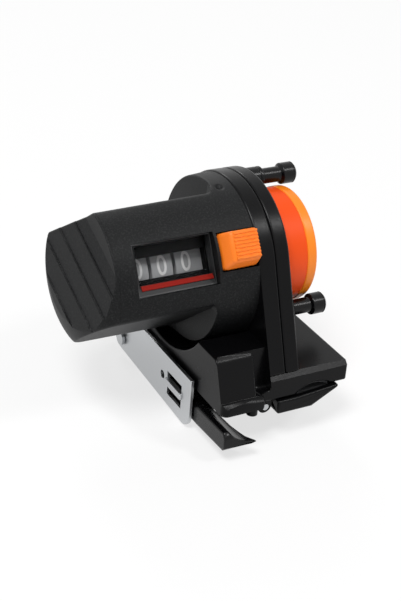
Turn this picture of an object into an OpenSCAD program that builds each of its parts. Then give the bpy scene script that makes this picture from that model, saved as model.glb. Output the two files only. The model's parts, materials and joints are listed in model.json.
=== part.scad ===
// Fishing line counter that clips onto a rod.
// The wheel axis runs along X, the rod lies along Y under the base, and Z is up.
// The pieces are drawn about the wheel axis, with X = 0 on the joint between the
// upright and its cover. place() then moves them to the part's origin, on the rod
// seat straight under the wheel.
// An angle "up from the front" is 0 towards -Y and 90 towards +Z.

/* [Measuring wheel] */
// Radius of the tread: its circumference is one tenth of a metre
tread_r = 15.92; // [15:0.01:16.4]
// Width of the rubber tread
tread_w = 8.4; // [7:0.1:9]
// Thickness of the rubber tread
tread_t = 1.4; // [0.8:0.1:2]
// Width of the rim outside the tread
rim_w = 3.1; // [2:0.1:4]
// Height of the rim's edge above the tread
rim_rise = 0.13; // [0.05:0.01:0.5]
// Radius of the wheel shaft
shaft_r = 1.5; // [1.2:0.1:2]

/* [Upright and cover] */
// Margin of the upright's round top past the housing
arch_rim = 0.3; // [0.1:0.05:1.5]
// Lean of the front and rear edges of the upright
arch_lean = 19.9; // [16:0.1:22]
// Thickness of the upright
upright_t = 4.8; // [4.4:0.1:5.4]
// Thickness of the cover
cover_t = 4.2; // [3.6:0.1:5]

/* [Base] */
// Height of the wheel axis above the underside of the base
axis_h = 28; // [27.5:0.1:30]
// Thickness of the platform under the wheel
platform_t = 7.2; // [6.4:0.1:7.6]
// Left face of the base, from the cover joint
base_left = 20; // [19:0.1:22]
// Right end of the base, from the cover joint
base_right = 19.3; // [18:0.1:22]
// Reach of the base past the feet of the upright
base_reach = 0.5; // [0.3:0.1:2]
// Reach of the front lip past the pedestal
lip_reach = 1.6; // [1:0.1:4]
// Thickness of the front lip
lip_t = 3.4; // [2.6:0.1:4]
// Height of the pedestal above the underside
pedestal_h = 14.5; // [13:0.1:15.5]
// Gap between the housing and the pedestal's saddle
saddle_gap = 0.8; // [0.4:0.1:1.4]

/* [Rod seat] */
// Middle of the rod seat, from the cover joint
rod_x = 9.6; // [9:0.1:10.5]
// Radius of the rod groove
groove_r = 8.7; // [8:0.1:10]
// Height of the rod groove above the underside
groove_h = 2.7; // [2.2:0.1:3.2]
// Rise of the underside to the right of the groove
step_up = 1.2; // [0.8:0.1:1.5]
// Thickness of the rubber rod pads
pad_t = 0.7; // [0.5:0.1:1]

/* [Housing] */
// Radius of the housing at the upright
drum_r = 22.7; // [22:0.1:23]
// Radius of the housing at the end cap
nose_r = 19.9; // [19.5:0.1:20.5]
// Length of the housing between the window and the end cap
nose_gap = 4.85; // [4.2:0.05:7]
// Gap between the number wheels and the upper finger scoop's wall
upper_scoop_gap = 0.5; // [0.3:0.1:1.4]
// Gap between the number wheels and the lower finger scoop's wall
lower_scoop_gap = 0.9; // [0.5:0.1:2.6]
// Right end of the upper scoop, from the cover joint
upper_scoop_x = 10.3; // [9.8:0.1:12]
// Right end of the lower scoop, from the cover joint
lower_scoop_x = 16.2; // [15.2:0.1:18]
// Angle of the upper scoop, up from the front
upper_scoop_angle = 125.5; // [122:0.5:130]
// Angle of the lower scoop, up from the front
lower_scoop_angle = -52; // [-56:0.5:-46]
// Radius of the corners at the scoops' right ends
scoop_corner_r = 4.5; // [2:0.1:8]
// Wall of the housing
wall = 1.8; // [1.4:0.1:2]
// Wall under the finger scoops
scoop_wall = 1.4; // [1.2:0.1:1.6]
// Angle of the display, up from the front
face_angle = 28; // [24:1:32]

/* [End cap] */
// Length of the end cap
cap_len = 8.1; // [7.6:0.1:9.5]
// Height of the first grip step above the axis
first_step = 10.9; // [9:0.1:12]
// Length of the end cap at the first grip step
first_len = 1.8; // [1.4:0.1:2.4]
// Spacing of the grip steps
step_h = 5.9; // [5:0.1:6.5]
// Slope of the end between one grip step and the next
step_run = 1.4; // [1:0.1:1.6]
// Depth of each grip step
step_depth = 0.35; // [0.2:0.05:0.5]
// Roll of the grip steps about the barrel
step_roll = 22; // [0:1:28]

/* [Display] */
// Length of the window frame along the barrel
window_len = 22.15; // [20:0.05:24]
// Height of the window frame
window_h = 13.45; // [12.6:0.05:14]
// Distance of the window frame's face from the axis
window_d = 19.3; // [19:0.1:19.8]
// Width of the wall between the button and the window
window_gap = 1.05; // [0.8:0.05:2]
// Width of the frame's upper bevel
top_bevel = 0.6; // [0.4:0.1:1.6]
// Width of the frame's lower bevel
low_bevel = 3; // [2:0.1:3.4]
// Width of the frame's left bevel
left_bevel = 1.4; // [1:0.1:2]
// Width of the frame's right bevel
right_bevel = 0.5; // [0.4:0.1:1.5]
// Height of the red index strip on the lower bevel
index_h = 1.4; // [0.8:0.1:1.8]
// Thickness of the clear window
lens_t = 0.8; // [0.6:0.1:1]
// Depth of the numbers behind the frame's face
number_depth = 6.6; // [6.4:0.1:7]
// Spacing of the number wheels
number_pitch = 6.9; // [6.8:0.05:7]
// Width of the band that carries the numbers
number_w = 5.9; // [5.4:0.1:6]
// Shift of the numbers to the left of the window's middle
number_shift = 0.6; // [0.2:0.1:0.8]
// Height of the numbers that show through the mask
mask_h = 5.6; // [4.5:0.1:7]

/* [Reset button] */
// Length of the button along the barrel
button_len = 10; // [8:0.1:10.1]
// Width of the button round the barrel
button_w = 9.6; // [8:0.1:10]
// Height of the button above the housing
button_rise = 2.5; // [2:0.1:4]
// Travel of the button
button_travel = 2; // [1:0.1:2]
// Angle of the button, up from the front
button_angle = 31; // [30:1:34]
// Number of grip ribs on the button
button_ribs = 8; // [5:1:9]

/* [Guide posts] */
// Gap between the posts' collars and the edge of the wheel
post_gap = 0.2; // [0.15:0.05:0.6]
// Angle of the rear post, up from the front
rear_post_angle = 109.5; // [100:0.5:120]
// Angle of the front post, up from the front
front_post_angle = -38.5; // [-46:0.5:-36]
// Radius of the posts' shafts
post_r = 2.15; // [1.6:0.05:2.4]
// Radius of the posts' feet and collars
collar_r = 2.95; // [2.6:0.05:3.2]
// Length of the posts
post_len = 16.4; // [16:0.1:20]
// Length of the posts' foot
foot_len = 5.9; // [4:0.1:6.5]
// Length of the posts' outer collar
collar_len = 4.1; // [2:0.1:4.2]

/* [Gear train] */
// Distance between the wheel axis and the layshaft
centre_d = 9.6; // [9.4:0.1:9.8]
// Angle of the layshaft, up from the front
lay_angle = 253; // [248:1:258]
// Radius of the layshaft
lay_r = 0.6; // [0.5:0.05:0.65]
// Width of each gear
gear_w = 1.5; // [1.2:0.1:1.6]

/* [Clamp] */
// Thickness of the steel of the lever channel
sheet_t = 1; // [0.8:0.1:1.2]
// Top of the left cheek above the underside of the base
cheek_rise = 2.8; // [1.5:0.1:4]
// Depth of the left cheek
cheek_h = 13.6; // [13:0.1:15]
// Drop of the steel cheek's lower edge towards its front end
cheek_drop = 1.8; // [0.5:0.1:2.5]
// Front end of the cheek, from the wheel axis
cheek_front = 20; // [18:0.1:24]
// Distance of the lever pin behind the wheel axis
lever_pin_y = 22.2; // [20:0.1:23]
// Drop of the lever pin below the underside of the base
lever_pin_drop = 6.8; // [6.4:0.1:7.2]
// Radius of the lever pin
lever_pin_r = 1.3; // [1:0.1:1.5]
// Drop of the jaw pin below the underside of the base
jaw_pin_drop = 1.6; // [1.4:0.05:1.9]
// Radius of the jaw pin
jaw_pin_r = 0.9; // [0.7:0.05:1]
// Right end of the lower jaw, from the cover joint
jaw_right = 16.5; // [15.8:0.1:17.5]
// Thickness of the jaw's root
jaw_t = 4; // [3.4:0.1:4.6]
// Reach of the thumb lever in front of the cheek
lever_reach = 17.5; // [14:0.1:20]
// Width of the thumb lever at its tip
lever_w = 9.5; // [8:0.1:10]
// Width of the thumb lever's tongue in the channel
tongue_w = 5.8; // [5:0.1:7]
// Height of the thumb lever's left wall
lever_h = 6.4; // [5:0.1:6.6]

/* [Clearances] */
// Radial clearance of turning shafts
run_gap = 0.05; // [0.02:0.01:0.08]
// Clearance of parts that move past each other
side_gap = 0.25; // [0.2:0.01:0.3]
// Gap of parts that are fixed in each other
fit_gap = 0.02; // [0.01:0.01:0.04]
// Gap between the closed jaw and the base
jaw_gap = 0.3; // [0.2:0.05:0.4]

/* [Hidden] */
$fn = 72;
eps = 0.01;
big = 200;

black = "#1d1e20";
satin_black = "#2a2b2d";
pad_black = "#3b3c3e";
orange = "#f58a2a";
tread_orange = "#e8501f";
steel = "#b9bcc0";
brass = "#c2a05a";
grey = "#7d8084";
pale_grey = "#c9ccce";
red = "#c22a20";
clear = "#dfe6ea";

// Places along X, measured from the cover joint
wheel_x = cover_t + 0.9;
tread_x = wheel_x + 0.5;
rim_x = tread_x + tread_w;
wheel_end_x = rim_x + rim_w;
button_x = -upright_t - button_len - 0.15;
window_x = -button_x + window_gap + window_len / 2;
cap_x = -window_x - window_len / 2 - nose_gap;

// Guide posts: their collars leave the wheel free
edge_r = tread_r + rim_rise;
post_d = edge_r + post_gap + collar_r;
post_screw_len = 7;
wheel_screw_len = 4;

// Upright: its round top covers the housing and the posts' collars
arch_r = max(drum_r, post_d + collar_r) + arch_rim;

// Heights and depths of the base
base_z = -axis_h;
platform_z = base_z + platform_t;
lip_z = base_z + lip_t;
pedestal_z = base_z + pedestal_h;
base_front = -front_edge(platform_z) + base_reach;
base_rear = base_front;
lip_front = -front_edge(lip_z) + lip_reach;
right_z = base_z + step_up;
groove_z = base_z + groove_h - groove_r;

// Gear train: two reductions of five and two of two
fine_small = 8;
fine_large = 40;
coarse_small = 10;
coarse_large = 20;
fine_m = 2 * centre_d / (fine_small + fine_large);
coarse_m = 2 * centre_d / (coarse_small + coarse_large);
mesh_gap = 0.5;
stage_pitch = gear_w + mesh_gap;
stage_1_x = -upright_t - stage_pitch;
stage_2_x = stage_1_x - stage_pitch;
stage_3_x = stage_2_x - stage_pitch;
stage_4_x = stage_3_x - stage_pitch;
plate_t = 1;
plate_gap = 1.4;
plate_x = stage_4_x - mesh_gap - plate_t;
arbor_r = 1.5;
hub_r = 3;
hub_clear = 0.4;
stub_r = 0.75;
stub_end_x = stage_1_x - mesh_gap / 2;

// Window: distances from the axis along the display's normal
number_r = window_d - number_depth;
bezel_low = window_d - 2.7;
lens_d = bezel_low - lens_t;
bevel_d = 1.6;
bevel_edge = 0.3;
mask_mid = 0.2;

// Number wheels and their carry pinions
units_x = window_x + number_shift - number_pitch;
upper_scoop_d = number_r + upper_scoop_gap + scoop_wall;
lower_scoop_d = number_r + lower_scoop_gap + scoop_wall;
carry_r = 0.7;
carry_d = number_r + carry_r + 0.3;
plate_r = carry_d + carry_r + 1.2;
carry_angle = face_angle + 225;
carry_m = 0.42;

button_sink = 6.7;
button_deep = drum_r - button_sink;
button_top = drum_r + button_rise;
button_flange = 1;

bush_r = 3.2;
screw_r = 1;
screw_head_r = 1.9;
screw_head_t = 1.5;
housing_screw_d = drum_r - 4;
housing_screw_len = 3;
housing_screw_angles = [100, 200, 320];
cover_screw_y = [-22.5, 22.5];
cover_screw_z = platform_z + 4.4;
pillar_r = 1.6;
rivet_r = 1;
pillar_d = 12.6;
pillar_angles = [lay_angle - 180, lay_angle - 90, lay_angle + 90];

// Clamp: the jaw turns about a pin along Y, the lever about a pin along X
jaw_pin_x = -5.6;
jaw_pin_z = base_z - jaw_pin_drop;
jaw_z = base_z - jaw_gap;
jaw_left = -2.2;
jaw_bend_x = 3.4;
jaw_front = base_front + 0.8;
jaw_rear = 24;
hub_gap = 0.4;
jaw_lug_r = 2;
jaw_lug_y = [[-base_front + 0.6, -base_front + 3.6], [18, 21]];
jaw_hub_y = [[jaw_lug_y[0][1] + hub_gap, -14], [-7, jaw_lug_y[1][0] - hub_gap]];
tail_y = [-6, -3];
tail_reach = 4.4;
pocket_x = jaw_pin_x - tail_reach - 0.6;
pocket_w = tail_reach + 3;
pocket_h = 2.6;
cheek_x = -base_left - 0.6 - sheet_t;
cheek_top = base_z + cheek_rise;
cheek_bottom = cheek_top - cheek_h;
cheek_corner = 4;
right_cheek_x = jaw_pin_x - tail_reach + 0.4;
right_cheek_top = base_z - 3;
tail_tab_top = jaw_pin_z + 0.1;
lever_pin_z = base_z - lever_pin_drop;
lever_lug_r = 2.6;
lever_lug_w = 2.4;
lever_lug_x = [cheek_x + sheet_t + 1, right_cheek_x - 0.4 - lever_lug_w];
web_front = cheek_front - 2;
web_rear = 14;
lever_x = cheek_x + sheet_t + side_gap;
lever_screw_x = lever_x + tongue_w / 2;
lever_z = cheek_bottom + sheet_t;
lever_tip = -cheek_front - lever_reach;
cheek_window = [8.4, 7.2];
cheek_window_y = -10.7;
cheek_window_z = cheek_bottom + 5.5;
hole_y = -3.5;
hole_z = cheek_bottom + 6.4;
lever_screw_y = -web_front + 5;
lever_screw_len = 4;
stud_x = -10;
stud_y = -lip_front + 2.2;
stud_r = 1.5;
stud_len = 2.2;

// A point [Y, Z] at a distance and an angle up from the front
function polar(d, a) = [-d * cos(a), d * sin(a)];

// Y of the upright's leaning front edge at the height z
function front_edge(z) = -arch_r * cos(arch_lean) - (arch_r * sin(arch_lean) - z) * tan(arch_lean);

// Moves a piece from the wheel axis to the part's origin on the rod seat
module place() {
    translate([-rod_x, 0, axis_h]) children();
}

// Extrudes a [Y, Z] outline along X
module along_x(from, to) {
    translate([from, 0, 0]) rotate([90, 0, 90]) linear_extrude(to - from) children();
}

// Extrudes an [X, Z] outline along Y
module along_y(from, to) {
    translate([0, to, 0]) rotate([90, 0, 0]) linear_extrude(to - from) children();
}

// A cylinder along X through the point [Y, Z]
module round_x(yz, r, from, to) {
    translate([0, yz[0], yz[1]]) along_x(from, to) circle(r);
}

// A cylinder along Y through the point [X, Z]
module round_y(xz, r, from, to) {
    translate([xz[0], 0, xz[1]]) along_y(from, to) circle(r);
}

// Turns a [radius, X] profile about the X axis through the point [Y, Z]
module turned(yz) {
    translate([0, yz[0], yz[1]]) rotate([0, 90, 0]) rotate_extrude() children();
}

// A block on the ray at an angle up from the front: from and to are along X,
// low and high are distances from the axis, and w is its width across the ray
module out_block(angle, from, to, low, high, w) {
    rotate([-angle, 0, 0]) translate([from, -high, -w / 2]) cube([to - from, high - low, w]);
}

// Plate with a round top and leaning edges down to the height z. The edges start
// just inside the round top, so that they cross it cleanly
module arch_plate(from, to, z) {
    top = polar(arch_r - 2 * eps, arch_lean);
    difference() {
        union() {
            along_x(from, to) circle(arch_r);
            along_x(from, to)
                polygon([top, [-top[0], top[1]], [-front_edge(z), z], [front_edge(z), z]]);
        }
        translate([from - 1, -big / 2, z - big]) cube([to - from + 2, big, big]);
    }
}

// Spur gear outline with one tooth at the given angle up from the front
module gear_outline(teeth, m, angle) {
    pitch_r = teeth * m / 2;
    root_r = pitch_r - 1.1 * m;
    tip_r = pitch_r + 0.8 * m;
    step = 360 / teeth;
    polygon([
        for (i = [0:teeth - 1], p = [[root_r, -0.3], [tip_r, -0.1], [tip_r, 0.1], [root_r, 0.3]])
            polar(p[0], angle + (i + p[1]) * step)
    ]);
}

// Gear on the wheel axis, with a tooth pointing at the layshaft
module axis_gear(teeth, m, from, to) {
    along_x(from, to) gear_outline(teeth, m, lay_angle);
}

// Gear on the layshaft, with a gap pointing at the wheel axis
module lay_gear(teeth, m, from, to) {
    yz = polar(centre_d, lay_angle);
    translate([0, yz[0], yz[1]])
        along_x(from, to) gear_outline(teeth, m, lay_angle + 180 + 180 / teeth);
}

// One wire wound as a helix along X from the origin
module coil(turns, pitch, r, wire) {
    rings = 8;
    sides = 6;
    n = floor(turns * rings);
    pts = [
        for (i = [0:n], j = [0:sides - 1])
            let (p = polar(r + wire * cos(360 * j / sides), 360 * i / rings))
                [pitch * i / rings + wire * sin(360 * j / sides), p[0], p[1]]
    ];
    skin = [
        for (i = [0:n - 1], j = [0:sides - 1])
            let (a = i * sides + j, b = i * sides + (j + 1) % sides)
                each [[a, b, b + sides], [a, b + sides, a + sides]]
    ];
    caps = [
        for (j = [1:sides - 2])
            each [[0, j + 1, j], [n * sides, n * sides + j, n * sides + j + 1]]
    ];
    polyhedron(pts, concat(skin, caps));
}

// A cheese-head screw along X with its slotted head's outer face at x; it points
// to the right, or to the left where way is -1
module screw_x(yz, x, way, len) {
    slot_w = 0.7;
    slot_d = 0.6;
    translate([x, 0, 0]) mirror([way < 0 ? 1 : 0, 0, 0]) difference() {
        union() {
            round_x(yz, screw_head_r, 0, screw_head_t);
            round_x(yz, screw_r, screw_head_t - eps, screw_head_t + len);
        }
        translate([-1, yz[0] - slot_w / 2, yz[1] - big / 2]) cube([1 + slot_d, slot_w, big]);
    }
}

// Base

// Side outline of the platform under the wheel, with chamfered top edges
module platform_outline() {
    chamfer = 1.2;
    polygon([
        [-base_front, base_z],
        [-base_front, platform_z - chamfer],
        [-base_front + chamfer, platform_z],
        [base_rear - chamfer, platform_z],
        [base_rear, platform_z - chamfer],
        [base_rear, base_z]
    ]);
}

// Side outline of the pedestal: the front leans with the upright, above the lip
module pedestal_outline() {
    chamfer = 1;
    polygon([
        [-lip_front, base_z],
        [-lip_front, lip_z - chamfer],
        [-lip_front + chamfer, lip_z],
        [front_edge(lip_z), lip_z],
        [front_edge(pedestal_z - chamfer), pedestal_z - chamfer],
        [front_edge(pedestal_z) + chamfer, pedestal_z],
        [-front_edge(pedestal_z), pedestal_z],
        [-front_edge(lip_z), lip_z],
        [base_rear, base_z]
    ]);
}

// Plan of the pedestal, with rounded left corners
module pedestal_plan() {
    corner = 1.8;
    union() {
        translate([-base_left, -lip_front + corner])
            square([base_left, base_rear + lip_front - 2 * corner]);
        translate([-base_left + corner, -lip_front])
            square([base_left - corner, base_rear + lip_front]);
        translate([-base_left + corner, -lip_front + corner]) circle(corner);
        translate([-base_left + corner, base_rear - corner]) circle(corner);
    }
}

module pedestal() {
    slot_w = 4.4;
    slot_d = 5;
    lip_slot_w = 2.6;
    difference() {
        intersection() {
            along_x(-base_left, -upright_t + eps) pedestal_outline();
            translate([0, 0, base_z]) linear_extrude(axis_h) pedestal_plan();
        }
        round_x([0, 0], drum_r + saddle_gap, -base_left - 1, -upright_t);
        translate([-upright_t - slot_w, -lip_front - 1, lip_z])
            cube([slot_w, lip_front + 1 + front_edge(lip_z) + slot_d, big]);
        translate([-upright_t - lip_slot_w, -lip_front - 1, base_z - 1])
            cube([lip_slot_w + 1, lip_front + 1 - base_front, lip_t + 2]);
    }
}

// Lugs under the base that hold the lever pin and the jaw pin
module lever_lugs() {
    for (x = lever_lug_x)
        along_x(x, x + lever_lug_w) union() {
            translate([lever_pin_y, lever_pin_z]) circle(lever_lug_r);
            translate([lever_pin_y - lever_lug_r, lever_pin_z])
                square([2 * lever_lug_r, base_z - lever_pin_z + eps]);
        }
}

module jaw_lugs() {
    for (y = jaw_lug_y)
        along_y(y[0], y[1]) union() {
            translate([jaw_pin_x, jaw_pin_z]) circle(jaw_lug_r);
            translate([jaw_pin_x - jaw_lug_r, jaw_pin_z])
                square([2 * jaw_lug_r, base_z - jaw_pin_z + eps]);
        }
}

module frame_base() {
    color(black) place() difference() {
        union() {
            arch_plate(-upright_t, 0, platform_z - eps);
            along_x(-upright_t, base_right) platform_outline();
            pedestal();
            lever_lugs();
            jaw_lugs();
        }
        round_x([0, 0], bush_r + fit_gap, -upright_t - 1, 1);
        round_y([rod_x, groove_z], groove_r, -big, big);
        translate([rod_x, -big / 2, right_z - big]) cube([big, big, big]);
        translate([pocket_x, jaw_lug_y[0][1], base_z - eps])
            cube([pocket_w, jaw_lug_y[1][0] - jaw_lug_y[0][1], pocket_h]);
        for (a = housing_screw_angles) {
            round_x(polar(housing_screw_d, a), screw_r + fit_gap, -upright_t - 1, 1);
            round_x(polar(housing_screw_d, a), screw_head_r + fit_gap, -screw_head_t, 1);
        }
        for (y = cover_screw_y)
            round_x([y, cover_screw_z], screw_r + fit_gap, -upright_t + 1, 1);
        for (a = pillar_angles)
            round_x(polar(pillar_d, a), rivet_r + fit_gap, -upright_t - 1, -1);
        round_x(polar(centre_d, lay_angle), lay_r + fit_gap, -upright_t - 1, -1.6);
        round_x([lever_pin_y, lever_pin_z], lever_pin_r + fit_gap, cheek_x, right_cheek_x);
        round_y([jaw_pin_x, jaw_pin_z], jaw_pin_r + fit_gap, jaw_lug_y[0][0] - 1, jaw_lug_y[1][1] + 1);
        translate([stud_x, stud_y, base_z - 1]) cylinder(h = stud_len + 1, r = stud_r - 0.6 + fit_gap);
    }
}

module wheel_cover() {
    color(black) place() difference() {
        arch_plate(0, cover_t, platform_z);
        round_x([0, 0], bush_r + fit_gap, -1, cover_t + 1);
        for (a = [rear_post_angle, front_post_angle]) {
            round_x(polar(post_d, a), screw_r + fit_gap, -1, cover_t + 1);
            round_x(polar(post_d, a), screw_head_r + fit_gap, -1, screw_head_t);
        }
        for (y = cover_screw_y) {
            round_x([y, cover_screw_z], screw_r + fit_gap, -1, cover_t + 1);
            round_x([y, cover_screw_z], screw_head_r + fit_gap, cover_t - screw_head_t, cover_t + 1);
        }
    }
}

// Housing

// Tapering barrel, drawn in from its outer surface by an inset
module barrel(inset) {
    turned([0, 0]) polygon([
        [0, cap_x - inset],
        [nose_r - inset, cap_x - inset],
        [drum_r - inset, -upright_t + inset],
        [0, -upright_t + inset]
    ]);
}

// Space of one finger scoop beside the barrel, drawn out by an inset. Its plan is
// open to the left and has two round corners on the right
module scoop(angle, floor_d, end_x, inset) {
    corner_steps = 6;
    half = sqrt(drum_r * drum_r - floor_d * floor_d) + inset;
    r = scoop_corner_r + inset;
    rotate([-angle, 0, 0]) translate([0, inset - floor_d, 0]) rotate([90, 0, 0]) linear_extrude(big / 4)
        polygon(concat(
            [[-big, half], [-big, -half]],
            [for (side = [-1, 1], i = [0:corner_steps]) let (a = 90 * i / corner_steps + min(0, 90 * side))
                [inset - end_x - r + r * cos(a), side * (half - r) + r * sin(a)]]
        ));
}

module scoops(inset) {
    scoop(upper_scoop_angle, upper_scoop_d, upper_scoop_x, inset);
    scoop(lower_scoop_angle, lower_scoop_d, lower_scoop_x, inset);
}

module counter_housing() {
    boss_r = 2.2;
    boss_len = housing_screw_len + 1;
    dimple_r = 0.9;
    dimple_angle = face_angle + 52;
    color(satin_black) place() difference() {
        union() {
            difference() {
                barrel(0);
                scoops(0);
                difference() {
                    barrel(wall);
                    scoops(scoop_wall);
                }
            }
            for (a = housing_screw_angles)
                intersection() {
                    round_x(polar(housing_screw_d, a), boss_r, -upright_t - boss_len, -upright_t);
                    barrel(0);
                }
        }
        for (a = housing_screw_angles)
            round_x(polar(housing_screw_d, a), screw_r + fit_gap, -upright_t - housing_screw_len - 0.2, 1);
        out_block(face_angle, -window_x - window_len / 2 - fit_gap, -window_x + window_len / 2 + fit_gap,
            number_r, big / 4, window_h + 2 * fit_gap);
        out_block(button_angle, button_x - side_gap, -upright_t + 1, button_deep, big / 4,
            button_w + 2 * side_gap);
        rotate([-dimple_angle, 0, 0]) translate([-upright_t - 3.6, -drum_r - 0.2, 0]) sphere(dimple_r);
    }
}

// Domed nose whose end runs out towards the bottom in four shallow grip steps
module end_cap() {
    steps = 4;
    spigot_len = 3;
    spigot_wall = 1.6;
    arc_steps = 9;
    shoulder = 0.6;
    low = -big / 8;
    slope = (step_run + step_depth) / step_h;
    color(satin_black) place() difference() {
        union() {
            difference() {
                intersection() {
                    turned([0, 0]) polygon(concat(
                        [[0, cap_x]],
                        [for (i = [0:arc_steps - 1]) let (a = 90 * i / arc_steps)
                            [nose_r * pow(cos(a), 0.8), cap_x - cap_len * pow(sin(a), 0.9)]],
                        [[0, cap_x - cap_len]]
                    ));
                    rotate([step_roll, 0, 0]) along_y(-big / 4, big / 4) polygon(concat(
                        [[cap_x, low], [cap_x, -low], [cap_x - shoulder, -low]],
                        [[cap_x - shoulder, first_step + (first_len - shoulder) / slope]],
                        [for (i = [0:steps - 1], d = [0, step_depth])
                            [cap_x - first_len - i * step_h * slope - d, first_step - i * step_h]],
                        [[cap_x - cap_len, low]]
                    ));
                }
                scoops(0);
            }
            difference() {
                along_x(cap_x - eps, cap_x + spigot_len) circle(nose_r - wall - fit_gap);
                along_x(cap_x, cap_x + spigot_len + 1) circle(nose_r - wall - spigot_wall);
                scoops(scoop_wall + fit_gap);
            }
            round_x([0, 0], hub_r, cap_x - eps, cap_x + spigot_len);
            round_x(polar(carry_d, carry_angle), carry_r + 1, cap_x - eps, cap_x + spigot_len);
        }
        round_x([0, 0], arbor_r + fit_gap, cap_x, cap_x + big);
        round_x(polar(carry_d, carry_angle), carry_r + fit_gap, cap_x, cap_x + big);
    }
}

// Display

// Moves a piece drawn at the display's middle, with -Y outwards, to the window
module at_window() {
    rotate([-face_angle, 0, 0]) translate([-window_x, 0, 0]) children();
}

// Frame with bevels that slope in to the opening
module window_bezel() {
    edge = bevel_edge;
    in_left = -window_len / 2 + left_bevel;
    in_right = window_len / 2 - right_bevel;
    in_top = window_h / 2 - top_bevel;
    in_low = -window_h / 2 + low_bevel;
    color(grey) place() at_window() difference() {
        translate([-window_len / 2, -window_d, -window_h / 2])
            cube([window_len, window_d - bezel_low, window_h]);
        translate([in_left, -window_d - 1, in_low]) cube([in_right - in_left, 5, in_top - in_low]);
        intersection() {
            along_x(-big, big) polygon([
                [-window_d - eps, -window_h / 2 + edge],
                [-window_d - eps, window_h / 2 - edge],
                [-window_d + bevel_d, in_top],
                [-window_d + bevel_d, in_low]
            ]);
            translate([0, 0, -big / 2]) linear_extrude(big) polygon([
                [-window_len / 2 + edge, -window_d - eps],
                [window_len / 2 - edge, -window_d - eps],
                [in_right, -window_d + bevel_d],
                [in_left, -window_d + bevel_d]
            ]);
        }
    }
}

// Clear window, held under the frame by the housing's opening
module window_lens() {
    color(clear, 0.35) place() at_window()
        translate([-window_len / 2, -bezel_low, -window_h / 2]) cube([window_len, lens_t, window_h]);
}

// Red strip on the lower bevel of the frame, under the numbers
module index_strip() {
    strip_t = 0.3;
    margin = 0.3;
    slope = atan(bevel_d / (low_bevel - bevel_edge));
    color(red) place() at_window()
        translate([-window_len / 2 + left_bevel + fit_gap, -window_d + bevel_d, -window_h / 2 + low_bevel])
            rotate([-slope, 0, 0])
                translate([0, -strip_t - fit_gap, -margin - index_h])
                    cube([window_len - left_bevel - right_bevel - 2 * fit_gap, strip_t, index_h]);
}

// Black mask under the clear window, with a slot over one row of numbers
module number_mask() {
    mask_len = window_len - 2 * fit_gap;
    mask_gap = 0.5;
    mask_t = lens_d - fit_gap - number_r - mask_gap;
    bar = 0.5;
    color(satin_black) place() at_window() difference() {
        translate([-mask_len / 2, -lens_d + fit_gap, -window_h / 2]) cube([mask_len, mask_t, window_h]);
        translate([-mask_len / 2 + bar, -lens_d - 1, mask_mid - mask_h / 2])
            cube([mask_len - 2 * bar, mask_t + 2, mask_h]);
    }
}

// Guide posts

module guide_post(angle) {
    neck = 0.6;
    screw_depth = post_screw_len + 1;
    from = cover_t;
    to = cover_t + post_len;
    difference() {
        turned(polar(post_d, angle)) polygon([
            [0, from],
            [collar_r, from],
            [collar_r, from + foot_len],
            [post_r, from + foot_len + neck],
            [post_r, to - collar_len - neck],
            [collar_r, to - collar_len],
            [collar_r, to - neck],
            [collar_r - neck, to],
            [0, to]
        ]);
        round_x(polar(post_d, angle), screw_r + fit_gap, from - 1, from + screw_depth);
    }
}

module rear_guide_post() {
    color(black) place() guide_post(rear_post_angle);
}

module front_guide_post() {
    color(black) place() guide_post(front_post_angle);
}

module guide_post_screws() {
    color(steel) place()
        for (a = [rear_post_angle, front_post_angle])
            screw_x(polar(post_d, a), 0, 1, cover_t - screw_head_t + post_screw_len);
}

module housing_screws() {
    color(steel) place()
        for (a = housing_screw_angles)
            screw_x(polar(housing_screw_d, a), 0, -1, upright_t - screw_head_t + housing_screw_len);
}

module cover_screws() {
    color(steel) place()
        for (y = cover_screw_y)
            screw_x([y, cover_screw_z], cover_t, -1, cover_t - screw_head_t + upright_t - 1.2);
}

// Wheel train

module shaft_bushes() {
    color(brass) place() for (x = [[-upright_t, 0], [0, cover_t]])
        difference() {
            round_x([0, 0], bush_r, x[0] + fit_gap, x[1] - fit_gap);
            round_x([0, 0], shaft_r + run_gap, x[0] - 1, x[1] + 1);
        }
}

// Wheel body: hub, dished web, and a rim that carries the tread
module measuring_wheel() {
    core_r = tread_r - tread_t;
    rim_in = core_r - 3;
    hub = 4.6;
    web_x = wheel_x + 4.4;
    web_end_x = web_x + 2.2;
    round_edge = 0.6;
    color(orange) place() turned([0, 0]) polygon([
        [shaft_r + fit_gap, wheel_x],
        [hub, wheel_x],
        [hub, web_x],
        [rim_in, web_x],
        [rim_in, wheel_x],
        [tread_r, wheel_x],
        [tread_r, tread_x],
        [core_r, tread_x],
        [core_r, rim_x],
        [tread_r, rim_x],
        [edge_r, rim_x + round_edge],
        [edge_r, wheel_end_x - round_edge],
        [edge_r - round_edge / 2, wheel_end_x - round_edge / 4],
        [edge_r - 2 * round_edge, wheel_end_x],
        [rim_in, wheel_end_x],
        [rim_in, web_end_x],
        [hub, web_end_x],
        [hub, wheel_end_x - screw_head_t],
        [shaft_r + fit_gap, wheel_end_x - screw_head_t]
    ]);
}

module wheel_tread() {
    core_r = tread_r - tread_t + fit_gap;
    color(tread_orange) place() turned([0, 0]) polygon([
        [core_r, tread_x + fit_gap],
        [tread_r, tread_x + fit_gap],
        [tread_r, rim_x - fit_gap],
        [core_r, rim_x - fit_gap]
    ]);
}

module wheel_shaft() {
    color(steel) place() difference() {
        union() {
            round_x([0, 0], shaft_r, -upright_t - 0.2, wheel_end_x - screw_head_t);
            round_x([0, 0], stub_r, stub_end_x, -upright_t);
        }
        round_x([0, 0], shaft_r / 2 + fit_gap, wheel_end_x - screw_head_t - wheel_screw_len - 0.5,
            wheel_end_x);
    }
}

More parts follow.
